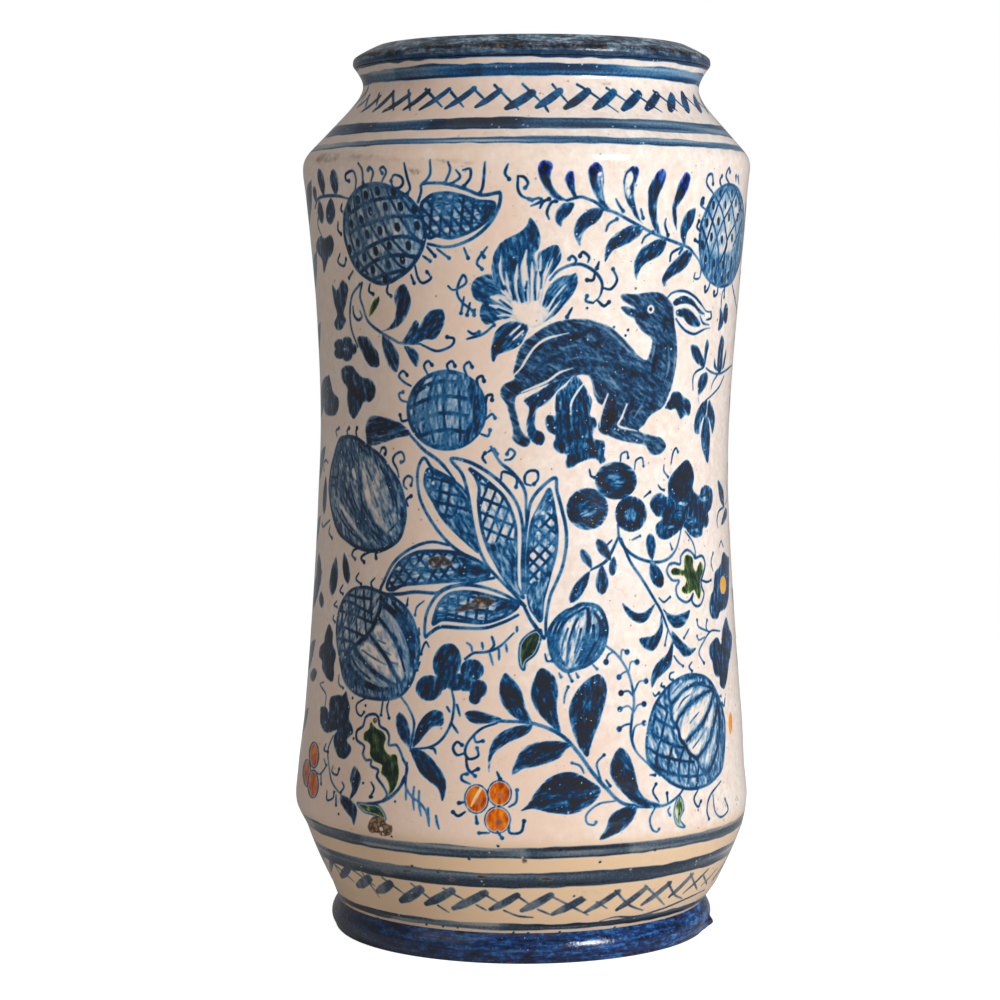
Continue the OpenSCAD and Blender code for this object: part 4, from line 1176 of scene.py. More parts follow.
FRUIT_SIX_CELLS = [
    ([(670.5, 702), (671, 692), (678, 684), (688, 680), (697, 680), (689, 684.5), (681, 691), (675, 698)],
     0.2),
    ([(673, 722), (672, 712), (674, 703), (682, 694), (690, 688), (700, 686), (710, 688.5), (703, 692),
      (694, 698), (685, 706), (679, 715), (676, 722)], 0.1),
    ([(681, 740), (680, 731), (682, 718), (689, 708), (697, 701), (706, 695), (712, 692), (710, 702),
      (706, 712), (700, 723), (692, 732), (686, 740)], 0.08),
    ([(692, 754), (688, 747), (690, 742), (697, 734), (704, 724), (709, 713), (713, 702), (714, 710),
      (712, 724), (708, 738), (702, 749), (697, 755.5)], 0.1),
    ([(702, 766), (699, 760), (706, 750), (712, 738), (716, 722), (717, 730), (715, 745), (711, 758),
      (707, 769)], 0.16),
]
FRUIT_SIX_LINES = [
    ([(668.5, 686.5), (669, 698), (671, 705), (671, 716), (674.5, 724), (678.5, 730), (680, 738), (685, 745),
      (689, 753), (694.5, 757), (698, 761), (701, 768), (708, 773)], 3.6),
    ([(671, 705), (675, 700), (682, 692), (690, 686), (700, 684), (714, 689)], 3.4),
    ([(676, 724), (680, 716), (687, 707), (696, 699), (705, 693), (714, 689)], 3.2),
    ([(687, 741), (694, 733), (702, 724), (708, 712), (712, 700), (714.5, 690)], 3.2),
    ([(698, 757), (705, 748), (711, 736), (715, 720), (717, 705), (715.5, 692)], 3.4),
    ([(709, 772), (714, 760), (718, 745), (719.5, 730), (719, 715), (717, 700)], 4),
]
FRUIT_SIX_STREAKS = [
    [(672, 694), (679, 686), (682, 683.5)], [(679, 707), (683, 700), (690, 694.5)], [(690, 723), (699, 712)],
    [(693, 748), (701, 737), (707, 727)], [(721, 720), (722, 745), (720, 762)],
]
FRUIT_SIX_CURLS = [
    [(692, 662), (689, 667), (692, 671)], [(674, 672), (670, 674), (670, 679), (673, 680)],
    [(662, 683), (661, 686), (664, 687)], [(653, 693), (655, 696), (659, 693)], [(718, 697), (721, 696)],
    [(725, 698), (724, 706), (722, 703)], [(650, 775), (655, 775)],
]
EDGE_ORANGE = ((730.4, 723), (1.8, 11))
SMALL_GREEN = [(680, 796), (684, 808), (680, 819), (685, 827), (677, 825), (674, 814), (676, 802)]


# Painting


def hatch(half, outline, angle, spacing, width, tone, clip):
    """Straight lines across an outline in the photo, kept inside a mask."""
    points = np.array(outline, float)
    centre = points.mean(0)
    way = np.array([math.cos(math.radians(angle)), math.sin(math.radians(angle))])
    side = np.array([-way[1], way[0]])
    reach = np.abs((points - centre) @ side).max()
    length = np.abs((points - centre) @ way).max()
    for offset in np.arange(-reach, reach, spacing):
        start = centre + side * offset
        half.stroke([start - way * length, start + way * length], width, tone, clip=clip)


def curls(half, lines, width=2.9, tone=0.86):
    """Curled brush lines that end in a small dab."""
    for line in lines:
        half.stroke(line, width, tone, ends=(0.7, 0.9))
        half.dot(line[-1], 0.76 * width, tone)


def sprig(half, stems, width):
    for stem in stems:
        half.stroke(stem, width, 0.7, ends=(0.9, 0.6))


def shade(half, layer, outlines, value):
    """Marks what some outlines hold in a layer, at one value."""
    for outline in outlines:
        half.wash(outline, edge=value, core=value, blots=0, streak=0, layer=layer)


def net_fruit(half, outline, net, grid, cells, lines, streaks):
    """A fruit cut open: a netted rind, pale lens-shaped cells and thick lines between them."""
    smooth = curve(outline, closed=True)
    half.wash(smooth, edge=0.7, core=0.58, rim=1.6, blots=0.4)
    inside = half.clip(smooth)
    half.wash(curve(net, closed=True), edge=0.58, core=0.46, rim=1.2, blots=0.5)
    for line in grid:
        half.stroke(line, 2.9, 0.84, ends=(0.9, 0.9), clip=inside)
    for cell, core in cells:
        half.wash(curve(cell, closed=True), edge=0.44, core=core, rim=1.3, blots=0.5, streak=0.6)
    for line in streaks:
        half.stroke(line, 2.2, 0.62, clip=inside)
    for line, width in lines:
        half.stroke(line, width, 0.88, ends=(0.9, 0.6), clip=inside)
    half.stroke([*smooth, smooth[0]], 3.2, 0.74, ends=(1, 1))


def grid_fruit(half, rim, rows, lines, core, dots):
    """A round fruit with a curved net, and dabs in its cells."""
    half.wash(rim, edge=0.66, core=core, rim=1.4, blots=0.5, streak=0.7)
    inside = half.clip(rim)
    for row in rows:
        half.stroke(row, 3.9, 0.78, ends=(1, 1), clip=inside)
    for line in lines:
        half.stroke(line, 3.0, 0.78, ends=(1, 1), clip=inside)
    half.stroke([*rim, rim[0]], 4.2, 0.74, ends=(1, 1))
    for x, y in dots:
        half.stroke([(x, y - 2), (x + 0.8, y + 2)], 6.4, 1.04, ends=(0.9, 0.7), clip=inside)


def hatched_leaf(half, outer, inner, core, ways):
    """A leaf's outer line, and a field inside it with lines across it in one or two ways."""
    field = curve(inner, closed=True)
    half.wash(field, edge=0.56, core=core, rim=0.9, blots=0.35)
    inside = half.clip(field)
    for angle, spacing in ways:
        hatch(half, inner, angle, spacing, 2.8, 0.82, inside)
    half.stroke([*field, field[0]], 3.6, 0.76, ends=(1, 1))
    half.stroke(outer, 3.8, 0.72, ends=(0.8, 0.8))


def lobes(half, shapes, **more):
    """Ellipses that run together into one shape."""
    outlines = [ellipse(*shape) for shape in shapes]
    half.wash(outlines[0], others=outlines[1:], **more)


def orange_berry(half, centre, radii):
    half.wash(ellipse(centre, (radii[0] + 1.5, radii[1] + 1.5)), edge=0.78, core=0.8, blots=0.2)
    half.wash(ellipse(centre, radii), edge=0, core=0, blots=0, streak=0)
    half.wash(ellipse(centre, radii), edge=0.84, core=0.9, rim=1.0, blots=0.4, streak=0.6, layer="orange")
    half.dot((centre[0] + 1, centre[1] + 2), 0.32 * radii[0], 0.34, layer="wear")


def green_shape(half, outline, border, strength=0.85):
    """A copper-green shape with a thin cobalt line round it."""
    smooth = curve(outline, closed=True)
    half.wash(smooth, edge=strength * 0.75, core=strength, layer="copper")
    if border:
        half.stroke([*smooth, smooth[0]], border, 0.68, ends=(1, 1))


def paint_pineapple(half):
    """A long fruit with a diamond net and a dab in each diamond."""
    rim = curve(PINEAPPLE, closed=True)
    half.wash(rim, edge=0.58, core=0.54, rim=1.6, blots=0.4, streak=0.8)
    inside = half.clip(rim)
    half.wash(curve(PINEAPPLE_LIGHT, closed=True), edge=0.48, core=0.2, rim=2.4, blots=0.4, streak=0.4)
    for line in PINEAPPLE_NET:
        half.stroke(line, 2.8, 0.84, ends=(0.9, 0.8), clip=inside)
    for x, y in PINEAPPLE_SEEDS:
        half.stroke([(x, y - 2.2), (x, y + 2.2)], 5, 1.04, ends=(0.9, 0.8), clip=inside)
    half.stroke([*rim, rim[0]], 3.2, 0.68, ends=(1, 1))


def paint_upper(half):
    curls(half, [*TOP_TICKS, *PINEAPPLE_CURLS, *FRUIT_ONE_CURLS])
    sprig(half, [TOP_STEM, *LEFT_STEMS], 3.4)
    for outline in TOP_CLUBS:
        half.wash(curve(outline, closed=True), edge=0.64, core=0.98, rim=1.1)
    shade(half, "vivid", [ellipse(*head) for head in VIVID_HEADS], 0.85)
    # Pale patches on two club heads: worn paint and a painted sheen
    for outline in CLUB_WEAR_AND_SHEEN:
        half.wash(curve(outline, closed=True), edge=0.6, core=0.04, rim=0.8, blots=0.7)
    for outline in TOP_DROPS:
        half.wash(curve(outline, closed=True), edge=0.62, core=0.9, rim=1.4)
    paint_pineapple(half)
    grid_fruit(half, curve(FRUIT_ONE, closed=True), FRUIT_ONE_ROWS, FRUIT_ONE_LINES, 0.42, FRUIT_ONE_DOTS)
    hatched_leaf(half, TOP_LEAF_OUTER, TOP_LEAF_INNER, 0.48, ((49, 8.2), (96, 10.2)))
    half.wash(curve(TOP_LEAF_DARK, closed=True), edge=0.6, core=0.86, rim=0.8)
    for tip, base, width in LEFT_LEAVES:
        half.leaf(tip, base, width)
    for outline in [*LEFT_SHAPES, *MIDDLE_LEAVES, TREFOIL]:
        half.wash(curve(outline, closed=True))
    half.leaf(*MIDDLE_SPROUT, edge=0.6, core=0.9, layer="copper")
    curls(half, MIDDLE_CURLS)
    (x, y), radius = SMALL_FLOWER
    spread = 0.55 * radius
    turns = [math.radians(turn) for turn in range(0, 360, 72)]
    petals = [(x + spread * math.cos(t), y + spread * math.sin(t)) for t in turns]
    lobes(half, [(petal, (0.46 * radius, 0.52 * radius)) for petal in petals])


def paint_palmette(half):
    petals = ((PALMETTE_LEFT, 25), (PALMETTE_LOW, -50), (PALMETTE_RIGHT, -65), (PALMETTE_TOP, 80))
    for petal, angle in petals:
        half.wash(curve(petal, closed=True), edge=0.62, core=0.74, rim=1.0, blots=0.4, streak=0.9,
                  angle=angle)
    for line, width in PALMETTE_RAYS:
        half.stroke(line, width, 0.22, ends=(0.1, 1), blots=0.5)
        half.stroke(line, 0.4 * width, 0.05, ends=(0.3, 1))
    half.wash(curve(PALMETTE_THROAT, closed=True), edge=0.16, core=0.03, rim=1.2, blots=0.6, streak=0.3,
              angle=80)
    for line in PALMETTE_VEINS:
        half.stroke(line, 2.3, 0.8, ends=(0.9, 0.5))
    half.wash(curve(PALMETTE_LEAF, closed=True), edge=0.64, core=0.9)
    for line in PALMETTE_STRIPES:
        half.stroke(line, 2.4, 0.04, ends=(0.9, 0.6))
    half.stroke(TENDRIL, 3.4, 0.74)
    curls(half, TENDRIL_CURLS)


def paint_hound(half):
    for line in HOUND_EAR_LINES:
        half.stroke(line, 2.8, 0.75)
    half.wash(curve(HOUND_TUFT, closed=True), edge=0.6, core=0.84, rim=1.0, blots=0.4, streak=1.1, angle=80)
    half.wash(curve(HOUND_LEG, closed=True), edge=0.66, core=0.97, rim=1.2)
    half.wash(curve(HOUND_PAW, closed=True), edge=0.66, core=0.95, rim=1.2)
    half.wash(curve(HOUND, closed=True), edge=0.6, core=0.8, rim=0.9, blots=0.25, streak=0.8, angle=32)
    inside = half.clip(curve(HOUND, closed=True))
    shade(half, "dull", [curve(HOUND, closed=True)], 0.35)
    for line, width in HOUND_DARKS:
        half.stroke(line, width, 0.88, ends=(0.3, 0.3), clip=inside, blots=0.2)
        half.stroke(line, 0.5 * width, 0.98, ends=(0.3, 0.3), clip=inside, blots=0.2)
    for line in HOUND_LIGHTS:
        half.stroke(line, 2.6, 0.56, ends=(0.4, 0.3), clip=inside)
    for outline in HOUND_EARS:
        half.wash(curve(outline, closed=True), edge=0.7, core=0.98, rim=1)
    for line in HOUND_LINES:
        half.stroke(line, 2.6, 0.04, ends=(0.6, 0.3))
    half.dot(HOUND_EYE, 4.4, 0.02)
    half.dot(HOUND_EYE, 1.9, 1.0)


def paint_middle(half):
    grid_fruit(half, ellipse(*FRUIT_TWO), FRUIT_TWO_ROWS, FRUIT_TWO_LINES, 0.44, [])
    half.wash(curve(FRUIT_TWO_SHADE, closed=True), edge=0.62, core=0.8, rim=2.2, blots=0.3, streak=0.9)
    curls(half, [*FRUIT_TWO_CURLS, *FRUIT_THREE_CURLS, *LEAF_CURLS])
    half.stroke(FRUIT_TWO_STEM, 4, 0.72)
    rim = curve(FRUIT_THREE, closed=True)
    half.wash(rim, edge=0.74, core=0.6, rim=1.6, blots=0.3, streak=1.0, angle=62)
    inside = half.clip(rim)
    for lens, core in FRUIT_THREE_LENSES:
        half.wash(curve(lens, closed=True), edge=0.6, core=core, rim=2.0, blots=0.5, streak=1.0, angle=62)
    for outline in FRUIT_THREE_PALE:
        half.wash(curve(outline, closed=True), edge=0.36, core=0.16, rim=1.0, blots=0.5, streak=0.6, angle=62)
    for line in FRUIT_THREE_STREAKS:
        half.stroke(line, 2.4, 0.8, clip=inside)
    half.wash(curve(FRUIT_THREE_SPOT, closed=True), edge=0.1, core=0, blots=0, streak=0)
    for line in FRUIT_THREE_TEETH:
        half.stroke(line, 2.6, 0.82, clip=inside)
    half.stroke([*rim, rim[0]], 3.8, 0.8, ends=(1, 1))
    for leaf in HATCHED:
        hatched_leaf(half, *leaf)
    for outline, core in HATCHED_SHADES:
        half.wash(curve(outline, closed=True), edge=0.56, core=core, rim=1.2, blots=0.6, streak=1.0)
    for outline in LEAF_WEAR:
        half.wash(curve(outline, closed=True), edge=0.5, core=0.68, rim=0.6, blots=0.1, streak=0.3,
                  layer="wear")
    for centre, radius in LEAF_CHIPS:
        half.dot(centre, radius, 0.02)
    sprig(half, LEAF_STEMS, 3.6)
    for tip, base, width in LEFT_EDGE_LEAVES:
        half.leaf(tip, base, width)
    for outline in RIGHT_LEAVES:
        half.wash(curve(outline, closed=True))
    sprig(half, RIGHT_STEMS, 2.6)


def paint_flowers(half):
    sprig(half, FLOWER_STEMS, 3.4)
    curls(half, FLOWER_TICKS, 2.2)
    for centre, radii in BERRIES:
        half.wash(ellipse(centre, radii), edge=0.64, core=1.0, rim=1.5, blots=0.2)
        half.wash(ellipse(centre, (0.5 * radii[0], 0.5 * radii[1])), edge=0.9, core=0.66, rim=1.5, blots=0.7)
    half.wash(curve(DARK_FLOWER, closed=True), edge=0.62, core=0.86, rim=1.2, blots=0.4, streak=1.0)
    for centre in DARK_FLOWER_LIGHTS:
        half.wash(ellipse(centre, (5, 4)), edge=0.8, core=0.54, rim=1.0, blots=0.6)
    half.wash(curve(DARK_PETAL, closed=True), edge=0.84, core=1.0, rim=1.4, blots=0.3)
    for tip, base, width in FLOWER_LEAVES:
        half.leaf(tip, base, width)
    for outline in CRESCENTS:
        half.wash(curve(outline, closed=True))
    border = curve(GREEN_FLOWER, closed=True)
    half.stroke([*border, border[0]], 3, 0.7, ends=(1, 1))
    green_shape(half, GREEN_HEART, 0)
    half.wash(curve(EDGE_FLOWER, closed=True), edge=0.64, core=0.86)
    half.wash(ellipse(*EDGE_HEART), edge=0, core=0, blots=0, streak=0)
    half.wash(ellipse(*EDGE_HEART), edge=0.4, core=0.36, blots=0.1, streak=0.2, layer="orange")


def paint_lower_left(half):
    for outline in [LOBED_LEAF, EDGE_DAB, LEFT_TREFOIL, *LOW_SHAPES]:
        half.wash(curve(outline, closed=True), edge=0.72, core=0.96)
    sprig(half, LEFT_LOW_STEMS, 2.4)
    curls(half, [*LEFT_LOW_CURLS, *FRUIT_FOUR_CURLS], 2.3)
    for centre, radii in [*LEFT_BERRIES, *ORANGE_BERRIES]:
        orange_berry(half, centre, radii)
    curls(half, [*BERRY_HOOKS, *SPIRALS], 2.8)
    half.stroke(GLAZE_STREAK, 3, 0.0, layer="orange")
    net_fruit(half, FRUIT_FOUR, FRUIT_FOUR_NET, FRUIT_FOUR_GRID, FRUIT_FOUR_CELLS, FRUIT_FOUR_LINES,
              FRUIT_FOUR_STREAKS)
    sprig(half, [FRUIT_FOUR_STEM, GREEN_STEM, *FLOWER_SPRIG, *LOW_RUNGS], 3.0)
    for tip, base, width, bend in LOW_LEAVES:
        half.leaf(tip, base, width, bend=bend, edge=0.66)
    lobes(half, FLOWER_LOBES, edge=0.7)
    border = curve(SCALLOPED, closed=True)
    half.stroke([*border, border[0]], 3, DARK, ends=(1, 1))
    green_shape(half, SCALLOPED_GREEN, 0, 1.0)
    green_shape(half, LOW_GREEN, 2, 0.8)


def paint_lower_right(half):
    rim = curve(FRUIT_FIVE, closed=True)
    half.wash(rim, edge=0.62, core=0.42, rim=1.4, blots=0.4, streak=1.0, angle=105)
    inside = half.clip(rim)
    for outline in FRUIT_FIVE_PALE:
        half.wash(curve(outline, closed=True), edge=0.26, core=0.08, rim=1.0, blots=0.5)
    half.wash(curve(FRUIT_FIVE_DARK, closed=True), edge=0.7, core=0.9)
    for stripe, width in FRUIT_FIVE_STRIPES:
        half.stroke(stripe, width, 0.82, clip=inside)
    half.stroke([*rim, rim[0]], 4, 0.76, ends=(1, 1))
    curls(half, [*FRUIT_FIVE_CURLS, *SPRAY_CURLS, *FRUIT_SIX_CURLS, *RIGHT_SPRIG], 2.4, 0.76)
    green_shape(half, MIDDLE_GREEN, 2.2, 0.9)
    half.stroke(DOTTED_STEM, 3.2, 0.66)
    for bud in DOTTED_BUDS:
        half.stroke(bud, 2.2, 0.68)
        half.dot(bud[-1], 3, 0.9)
    sprig(half, [SPRAY_STEM], 4)
    for outline in SPRAY:
        half.wash(curve(outline, closed=True), edge=0.64, core=1.0, rim=1.5, blots=0.4)
    half.wash(curve(RIGHT_TREFOIL, closed=True))
    net_fruit(half, FRUIT_SIX, FRUIT_SIX_NET, FRUIT_SIX_GRID, FRUIT_SIX_CELLS, FRUIT_SIX_LINES,
              FRUIT_SIX_STREAKS)
    half.wash(ellipse(*EDGE_ORANGE), edge=0.6, core=0.5, blots=0.2, streak=0.3, layer="orange")
    green_shape(half, SMALL_GREEN, 2, 0.45)


# How far a band's edges stray in mm, and how dark and how dull its paint is
BAND_WOBBLE = 0.45
BAND_TONES = {"neck_band": 0.64, "shoulder_band_wide": 0.63, "shoulder_band_thin": 0.53,
              "base_band_upper": 0.53, "base_band_lower": 0.46, "foot_line": 0.66}
BAND_DULL = {"neck_band": 0.05, "shoulder_band_wide": 0.5, "shoulder_band_thin": 0.35, "base_band_upper": 1.0,
             "base_band_lower": 1.0, "foot_line": 1.0}
# Where a band was brushed twice: a row of the photo, and runs of columns
DARK_RUNS = {"neck_band": (70, [(394, 482)]), "shoulder_band_wide": (128, [(357, 374), (427, 520)])}
# Distance over which a band grows even, up to where the halves meet
SEAM_MM = 12


def stray(half, size, calm):
    """How far a band's edge strays, in mm, at each step round the jar."""
    return BAND_WOBBLE * calm * (1.6 * half.cloud(size, 2)[0] + 0.9 * half.cloud(2.4, 2)[0] - 1.25)


def paint_bands(half):
    """The brushed lines round neck, shoulder and base, uneven except where the halves meet."""
    calm = smoothstep((half.u[-1] - np.abs(half.u)) / SEAM_MM)
    for name in BANDS:
        low, high = (path_at(corner.z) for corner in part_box(name))
        from_low = half.v[:, None] - low - stray(half, 14, calm)[None]
        from_high = high + stray(half, 9, calm)[None] - half.v[:, None]
        inside = np.clip(np.minimum(from_low, from_high) / SOFT + 0.5, 0, 1)
        overlap = smoothstep((half.cloud(22, 2)[0] - 0.66) / 0.1)
        row, runs = DARK_RUNS.get(name, (0, []))
        for run in runs:
            start, end = cast([(x, row) for x in run])[:, 0]
            within = np.minimum(half.u - start, end - half.u)
            overlap = np.maximum(overlap, 0.55 * smoothstep(within / 3 + 0.5))
        streaks = half.cloud(1.1, 30)
        edge = 0.16 * smoothstep(1 - from_low / 1.2)
        tone = BAND_TONES[name] + edge + calm * (0.62 * (streaks - 0.5) + 0.26 * overlap)
        half.lay("cobalt", EVERYWHERE, inside, tone)
        half.lay("dull", EVERYWHERE, inside, BAND_DULL[name])
    drip = half.v[-1] - half.v[:, None] - 0.5 - 0.7 * half.cloud(4, 1.5)[0][None]
    half.lay("cobalt", EVERYWHERE, np.clip(0.5 - drip / SOFT, 0, 1), 0.86)


# The zigzag borders on neck and base: how dark they are, thick dabs with their widths, and thin lines
NECK_TONE = 0.84
BASE_TONE = 0.66
NECK_DABS = [
    ((357.5, 107), (369, 96.5), 5), ((362.5, 111), (379, 97.5), 6), ((374, 110.5), (392, 94), 6.8),
    ((384, 111), (408.5, 95.5), 6.6), ((404.5, 109), (428, 91.5), 6.2), ((420.5, 109), (448.5, 90), 6),
    ((446, 108), (474, 89), 6.4), ((476.5, 106.5), (499.5, 91), 6.6), ((507, 108), (532, 93), 8.6),
    ((537, 107), (560, 91), 7.4), ((565.5, 108), (588, 91), 7.4), ((594.5, 108.5), (614, 92), 7.6),
    ((623, 109.5), (639, 93.5), 7.6), ((646.5, 109.5), (657.5, 94.5), 7), ((670, 110.5), (672.5, 96), 8),
    ((687, 111), (683.5, 95.5), 9), ((699.5, 111), (695.5, 98.5), 9),
]
NECK_TIES = [
    [(369, 95), (365.5, 107)], [(379, 93.5), (376.5, 105.5)], [(393, 91), (393.5, 110.5)],
    [(408.5, 90), (410, 110.5)], [(425.5, 89), (442, 107)], [(448.5, 89), (463.5, 107)],
    [(472.5, 87.5), (485.5, 100.5)], [(494.5, 85), (518.5, 109.5)], [(522.5, 84), (541, 102)],
    [(552.5, 84.5), (568.5, 103.5)], [(577, 84.5), (588, 91), (618, 112)], [(606.5, 88), (627.5, 102)],
    [(631.5, 89.5), (641, 98), (662, 112)], [(653.5, 91), (669.5, 103.5), (677, 111)],
    [(671, 95.5), (686, 109.5)], [(683, 94.5), (696, 107)], [(693.5, 98), (704.5, 108)],
    [(544.5, 105.5), (548.5, 112)],
]
BASE_DABS = [
    ((341, 876.5), (349, 867), 7), ((357.5, 886), (369.5, 878), 8), ((377.5, 891.5), (390.5, 883.5), 8),
    ((401, 901), (420.5, 889), 8.6), ((426, 904), (452, 890.5), 7.4), ((453.5, 908.5), (485, 893), 7.4),
    ((490.5, 909.5), (517, 895.5), 6.6), ((522, 910.5), (550.5, 895.5), 7.4),
    ((553, 914), (588.5, 895.5), 7.2), ((585.5, 912), (618.5, 891.5), 5.6),
    ((617, 909.5), (645.5, 888.5), 6.4), ((642, 904.5), (669.5, 883.5), 6), ((669.5, 896.5), (692, 875), 5.6),
    ((683.5, 893), (708, 869.5), 3.2), ((701.5, 885.5), (717, 868.5), 2),
]
BASE_TIES = [
    [(332.5, 862.5), (354.5, 882)], [(344.5, 864), (375, 886)], [(361, 871), (379.5, 897.5)],
    [(382, 877.5), (405, 894.5)], [(411, 883.5), (433, 901)], [(443.5, 888.5), (464.5, 900)],
    [(438, 905.5), (449, 912.5)], [(480.5, 892), (499, 903)], [(476.5, 905), (486.5, 910.5)],
    [(515, 894.5), (529, 904)], [(504, 910.5), (518, 916), (533, 917.5)], [(548, 894.5), (588, 915)],
    [(538, 909.5), (551.5, 915)], [(578.5, 889.5), (607, 908.5)],
    [(615.5, 890.5), (628.5, 904.5), (643, 910.5)], [(645, 885.5), (657, 897), (664.5, 905)],
    [(668, 882), (674.5, 894.5), (682, 898.5)], [(690.5, 873.5), (697, 889.5)],
    [(703.5, 875.5), (707, 884.5)],
]
BASE_FLAKE = [(577, 888), (585, 889), (595, 890), (602, 893), (601, 899), (592, 902), (583, 897)]
SPLIT_LINE = [(600, 921), (615.5, 917), (635.5, 916.5), (658.5, 910), (673, 904.5), (690, 897), (704.5, 890)]


def paint_zigzag(half, dabs, ties, tone, swell, tie_width):
    """A border of thick slanting dabs, each crossed by a thin line to the next."""
    for start, end, width in dabs:
        span = np.array(end, float) - start
        half.stroke([start, start + 0.5 * span + (0, 0.8), end], swell * width, tone, ends=(0.55, 0.85),
                    blots=0.2)
        half.dot(start, 0.3 * width, tone + 0.1)
    for tie in ties:
        half.stroke(tie, tie_width, tone + 0.04, ends=(1, 0.5))


# The spray where the halves meet: the length of its leaves in mm on the left and the right side of a half
SIDE_SPRAY = [(-1, 21), (1, 11)]
# How many leaves it has, how far it keeps from the body's corners, and how steeply the leaves rise
SIDE_LEAVES = 9
SIDE_MARGIN = 14
SIDE_RISE = 0.6
# Half width of a border's dab there
SIDE_DAB = 1.3


def side_border(half, dabs, tone):
    """A zigzag border carried on from its last photographed dabs to where the halves meet."""
    feet = cast([dab[0] for dab in dabs])
    heads = cast([dab[1] for dab in dabs])
    slant = np.median(heads - feet, axis=0)
    pitch = np.median(np.diff(feet[:, 0]))
    for end, way in ((feet[0], -1), (feet[-1], 1)):
        for place in np.arange(end[0] + way * pitch, way * half.u[-1], way * pitch):
            foot = np.array([place, end[1]])
            head = foot + slant
            half.draw(np.linspace(foot, head, 3), SIDE_DAB * np.array([0.6, 1, 0.8]), tone)
            half.draw(np.array([head + (-1, 1.5), foot + (pitch, 1)]), np.array([0.5, 0.3]), tone)


def paint_sides(half):
    """The sides that the photo doesn't show: borders that run on, and an upright spray."""
    low = path_at(BODY_LOW_Z) + SIDE_MARGIN
    high = path_at(BODY_HIGH_Z) - SIDE_MARGIN
    for side, reach in SIDE_SPRAY:
        edge = side * half.u[-1]
        half.draw(np.array([(edge, low), (edge, high)]), np.array([0.6, 0.45]), 0.72)
        for number, height in enumerate(np.linspace(low, high, SIDE_LEAVES)):
            length = reach * (0.85 + 0.15 * (number % 3))
            t = np.linspace(0, 1, 14)
            bend = SIDE_RISE * length * t ** 1.5
            leaf = np.column_stack([edge - side * length * t, height + bend])
            half.draw(leaf, 0.25 + 0.17 * length * np.sin(math.pi * t ** 1.3), 0.88, blots=0.3)
            bud = np.array([edge - side * 0.4 * reach, height - 0.3 * reach])
            half.draw(np.array([(edge, height - 0.5 * reach), bud]), np.array([0.35, 0.35]), 0.74)
            half.draw(np.array([bud, bud + 0.05]), np.full(2, 1.3), 0.86)
    side_border(half, NECK_DABS, NECK_TONE)
    side_border(half, BASE_DABS, BASE_TONE)


def below(values, start, reach):
    """0 above the start, growing to 1 over the reach below it."""
    return smoothstep((start - values) / reach)


def paint_base_tint_and_shade(half):
    """Below the lower corner the paint turns greyer and the glaze tan, a painted shade; the paint on the left
    is duller; and the glaze on the left and low on the body is warmer and darker, a painted shade.
    """
    u = half.u[None]
    v = half.v[:, None]
    high = path_at(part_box("base_band_upper")[1].z)
    # Painted shade: below the lower corner the glaze is tinted tan; the paint there is also greyer
    half.paint["grey"][:] = np.maximum(half.paint["grey"], below(v, high + 4, 5))
    half.paint["dull"][:] = np.maximum(half.paint["dull"], 0.6 * below(u, -30, 25))
    # Painted shade: the glaze turns warmer and darker towards the left, away from the key lamp, and low on
    # the body
    left = below(u, 30, 55) - 0.35 * below(u, -40, 25)
    low = 0.7 * below(v, 95, 45) * below(u, 60, 40)
    half.paint["warm"][:] = np.clip((left + low) * (0.5 + 0.6 * half.cloud(12) + 0.4 * half.cloud(3)), 0, 1)


# Flaws of the glaze: pits, brown smudges with their strength, and chips in the base bands
PITS = [
    (426.5, 924.5), (443, 926.5), (457.5, 927.5), (513.5, 932.5), (528, 933), (559.5, 932), (614.5, 927.5),
    (378, 922.5), (574, 896), (365.5, 705.5), (352.5, 698), (353.5, 738.5), (395, 801.5), (363, 783),
    (372, 797), (338.5, 814), (391.5, 836.5), (587, 308), (614, 327), (625.5, 335.5), (628, 330), (469, 859),
    (498, 846), (560, 850), (622, 846), (655, 850), (412, 866), (438, 872), (600, 862),
]
SMUDGES = [
    ([(308, 156), (330, 151), (380, 153), (440, 156), (480, 160), (470, 167), (420, 165), (360, 163),
      (315, 166)], 0.2), ([(405, 167), (421, 165), (425, 175), (412, 177)], 0.26),
    ([(440, 166), (465, 165), (466, 172), (446, 173)], 0.2),
    ([(600, 82), (611, 80), (615, 85), (604, 87)], 0.4),
    ([(370, 863), (384, 868), (402, 875), (388, 876)], 0.3),
]
BAND_CHIPS = [
    ((407, 871), (5, 1.8)), ((482, 876.5), (6, 2)), ((452, 879.5), (3, 1.4)), ((524.5, 861), (3, 2.6)),
    ((547, 879), (7, 1.6)),
]
# Places tried for pinholes in dark paint, pale specks that are partly a painted glint, and for specks on bare
# glaze, and the tones that count as such
PINHOLES_AND_GLINTS = 900
CLAY_SPECKS = 260
DARK_ABOVE = 0.7
BARE_BELOW = 0.2
# Rows and columns of the grid at its edges that are left without specks
SPECK_ROWS_OFF = 40
SPECK_COLUMNS_OFF = 8


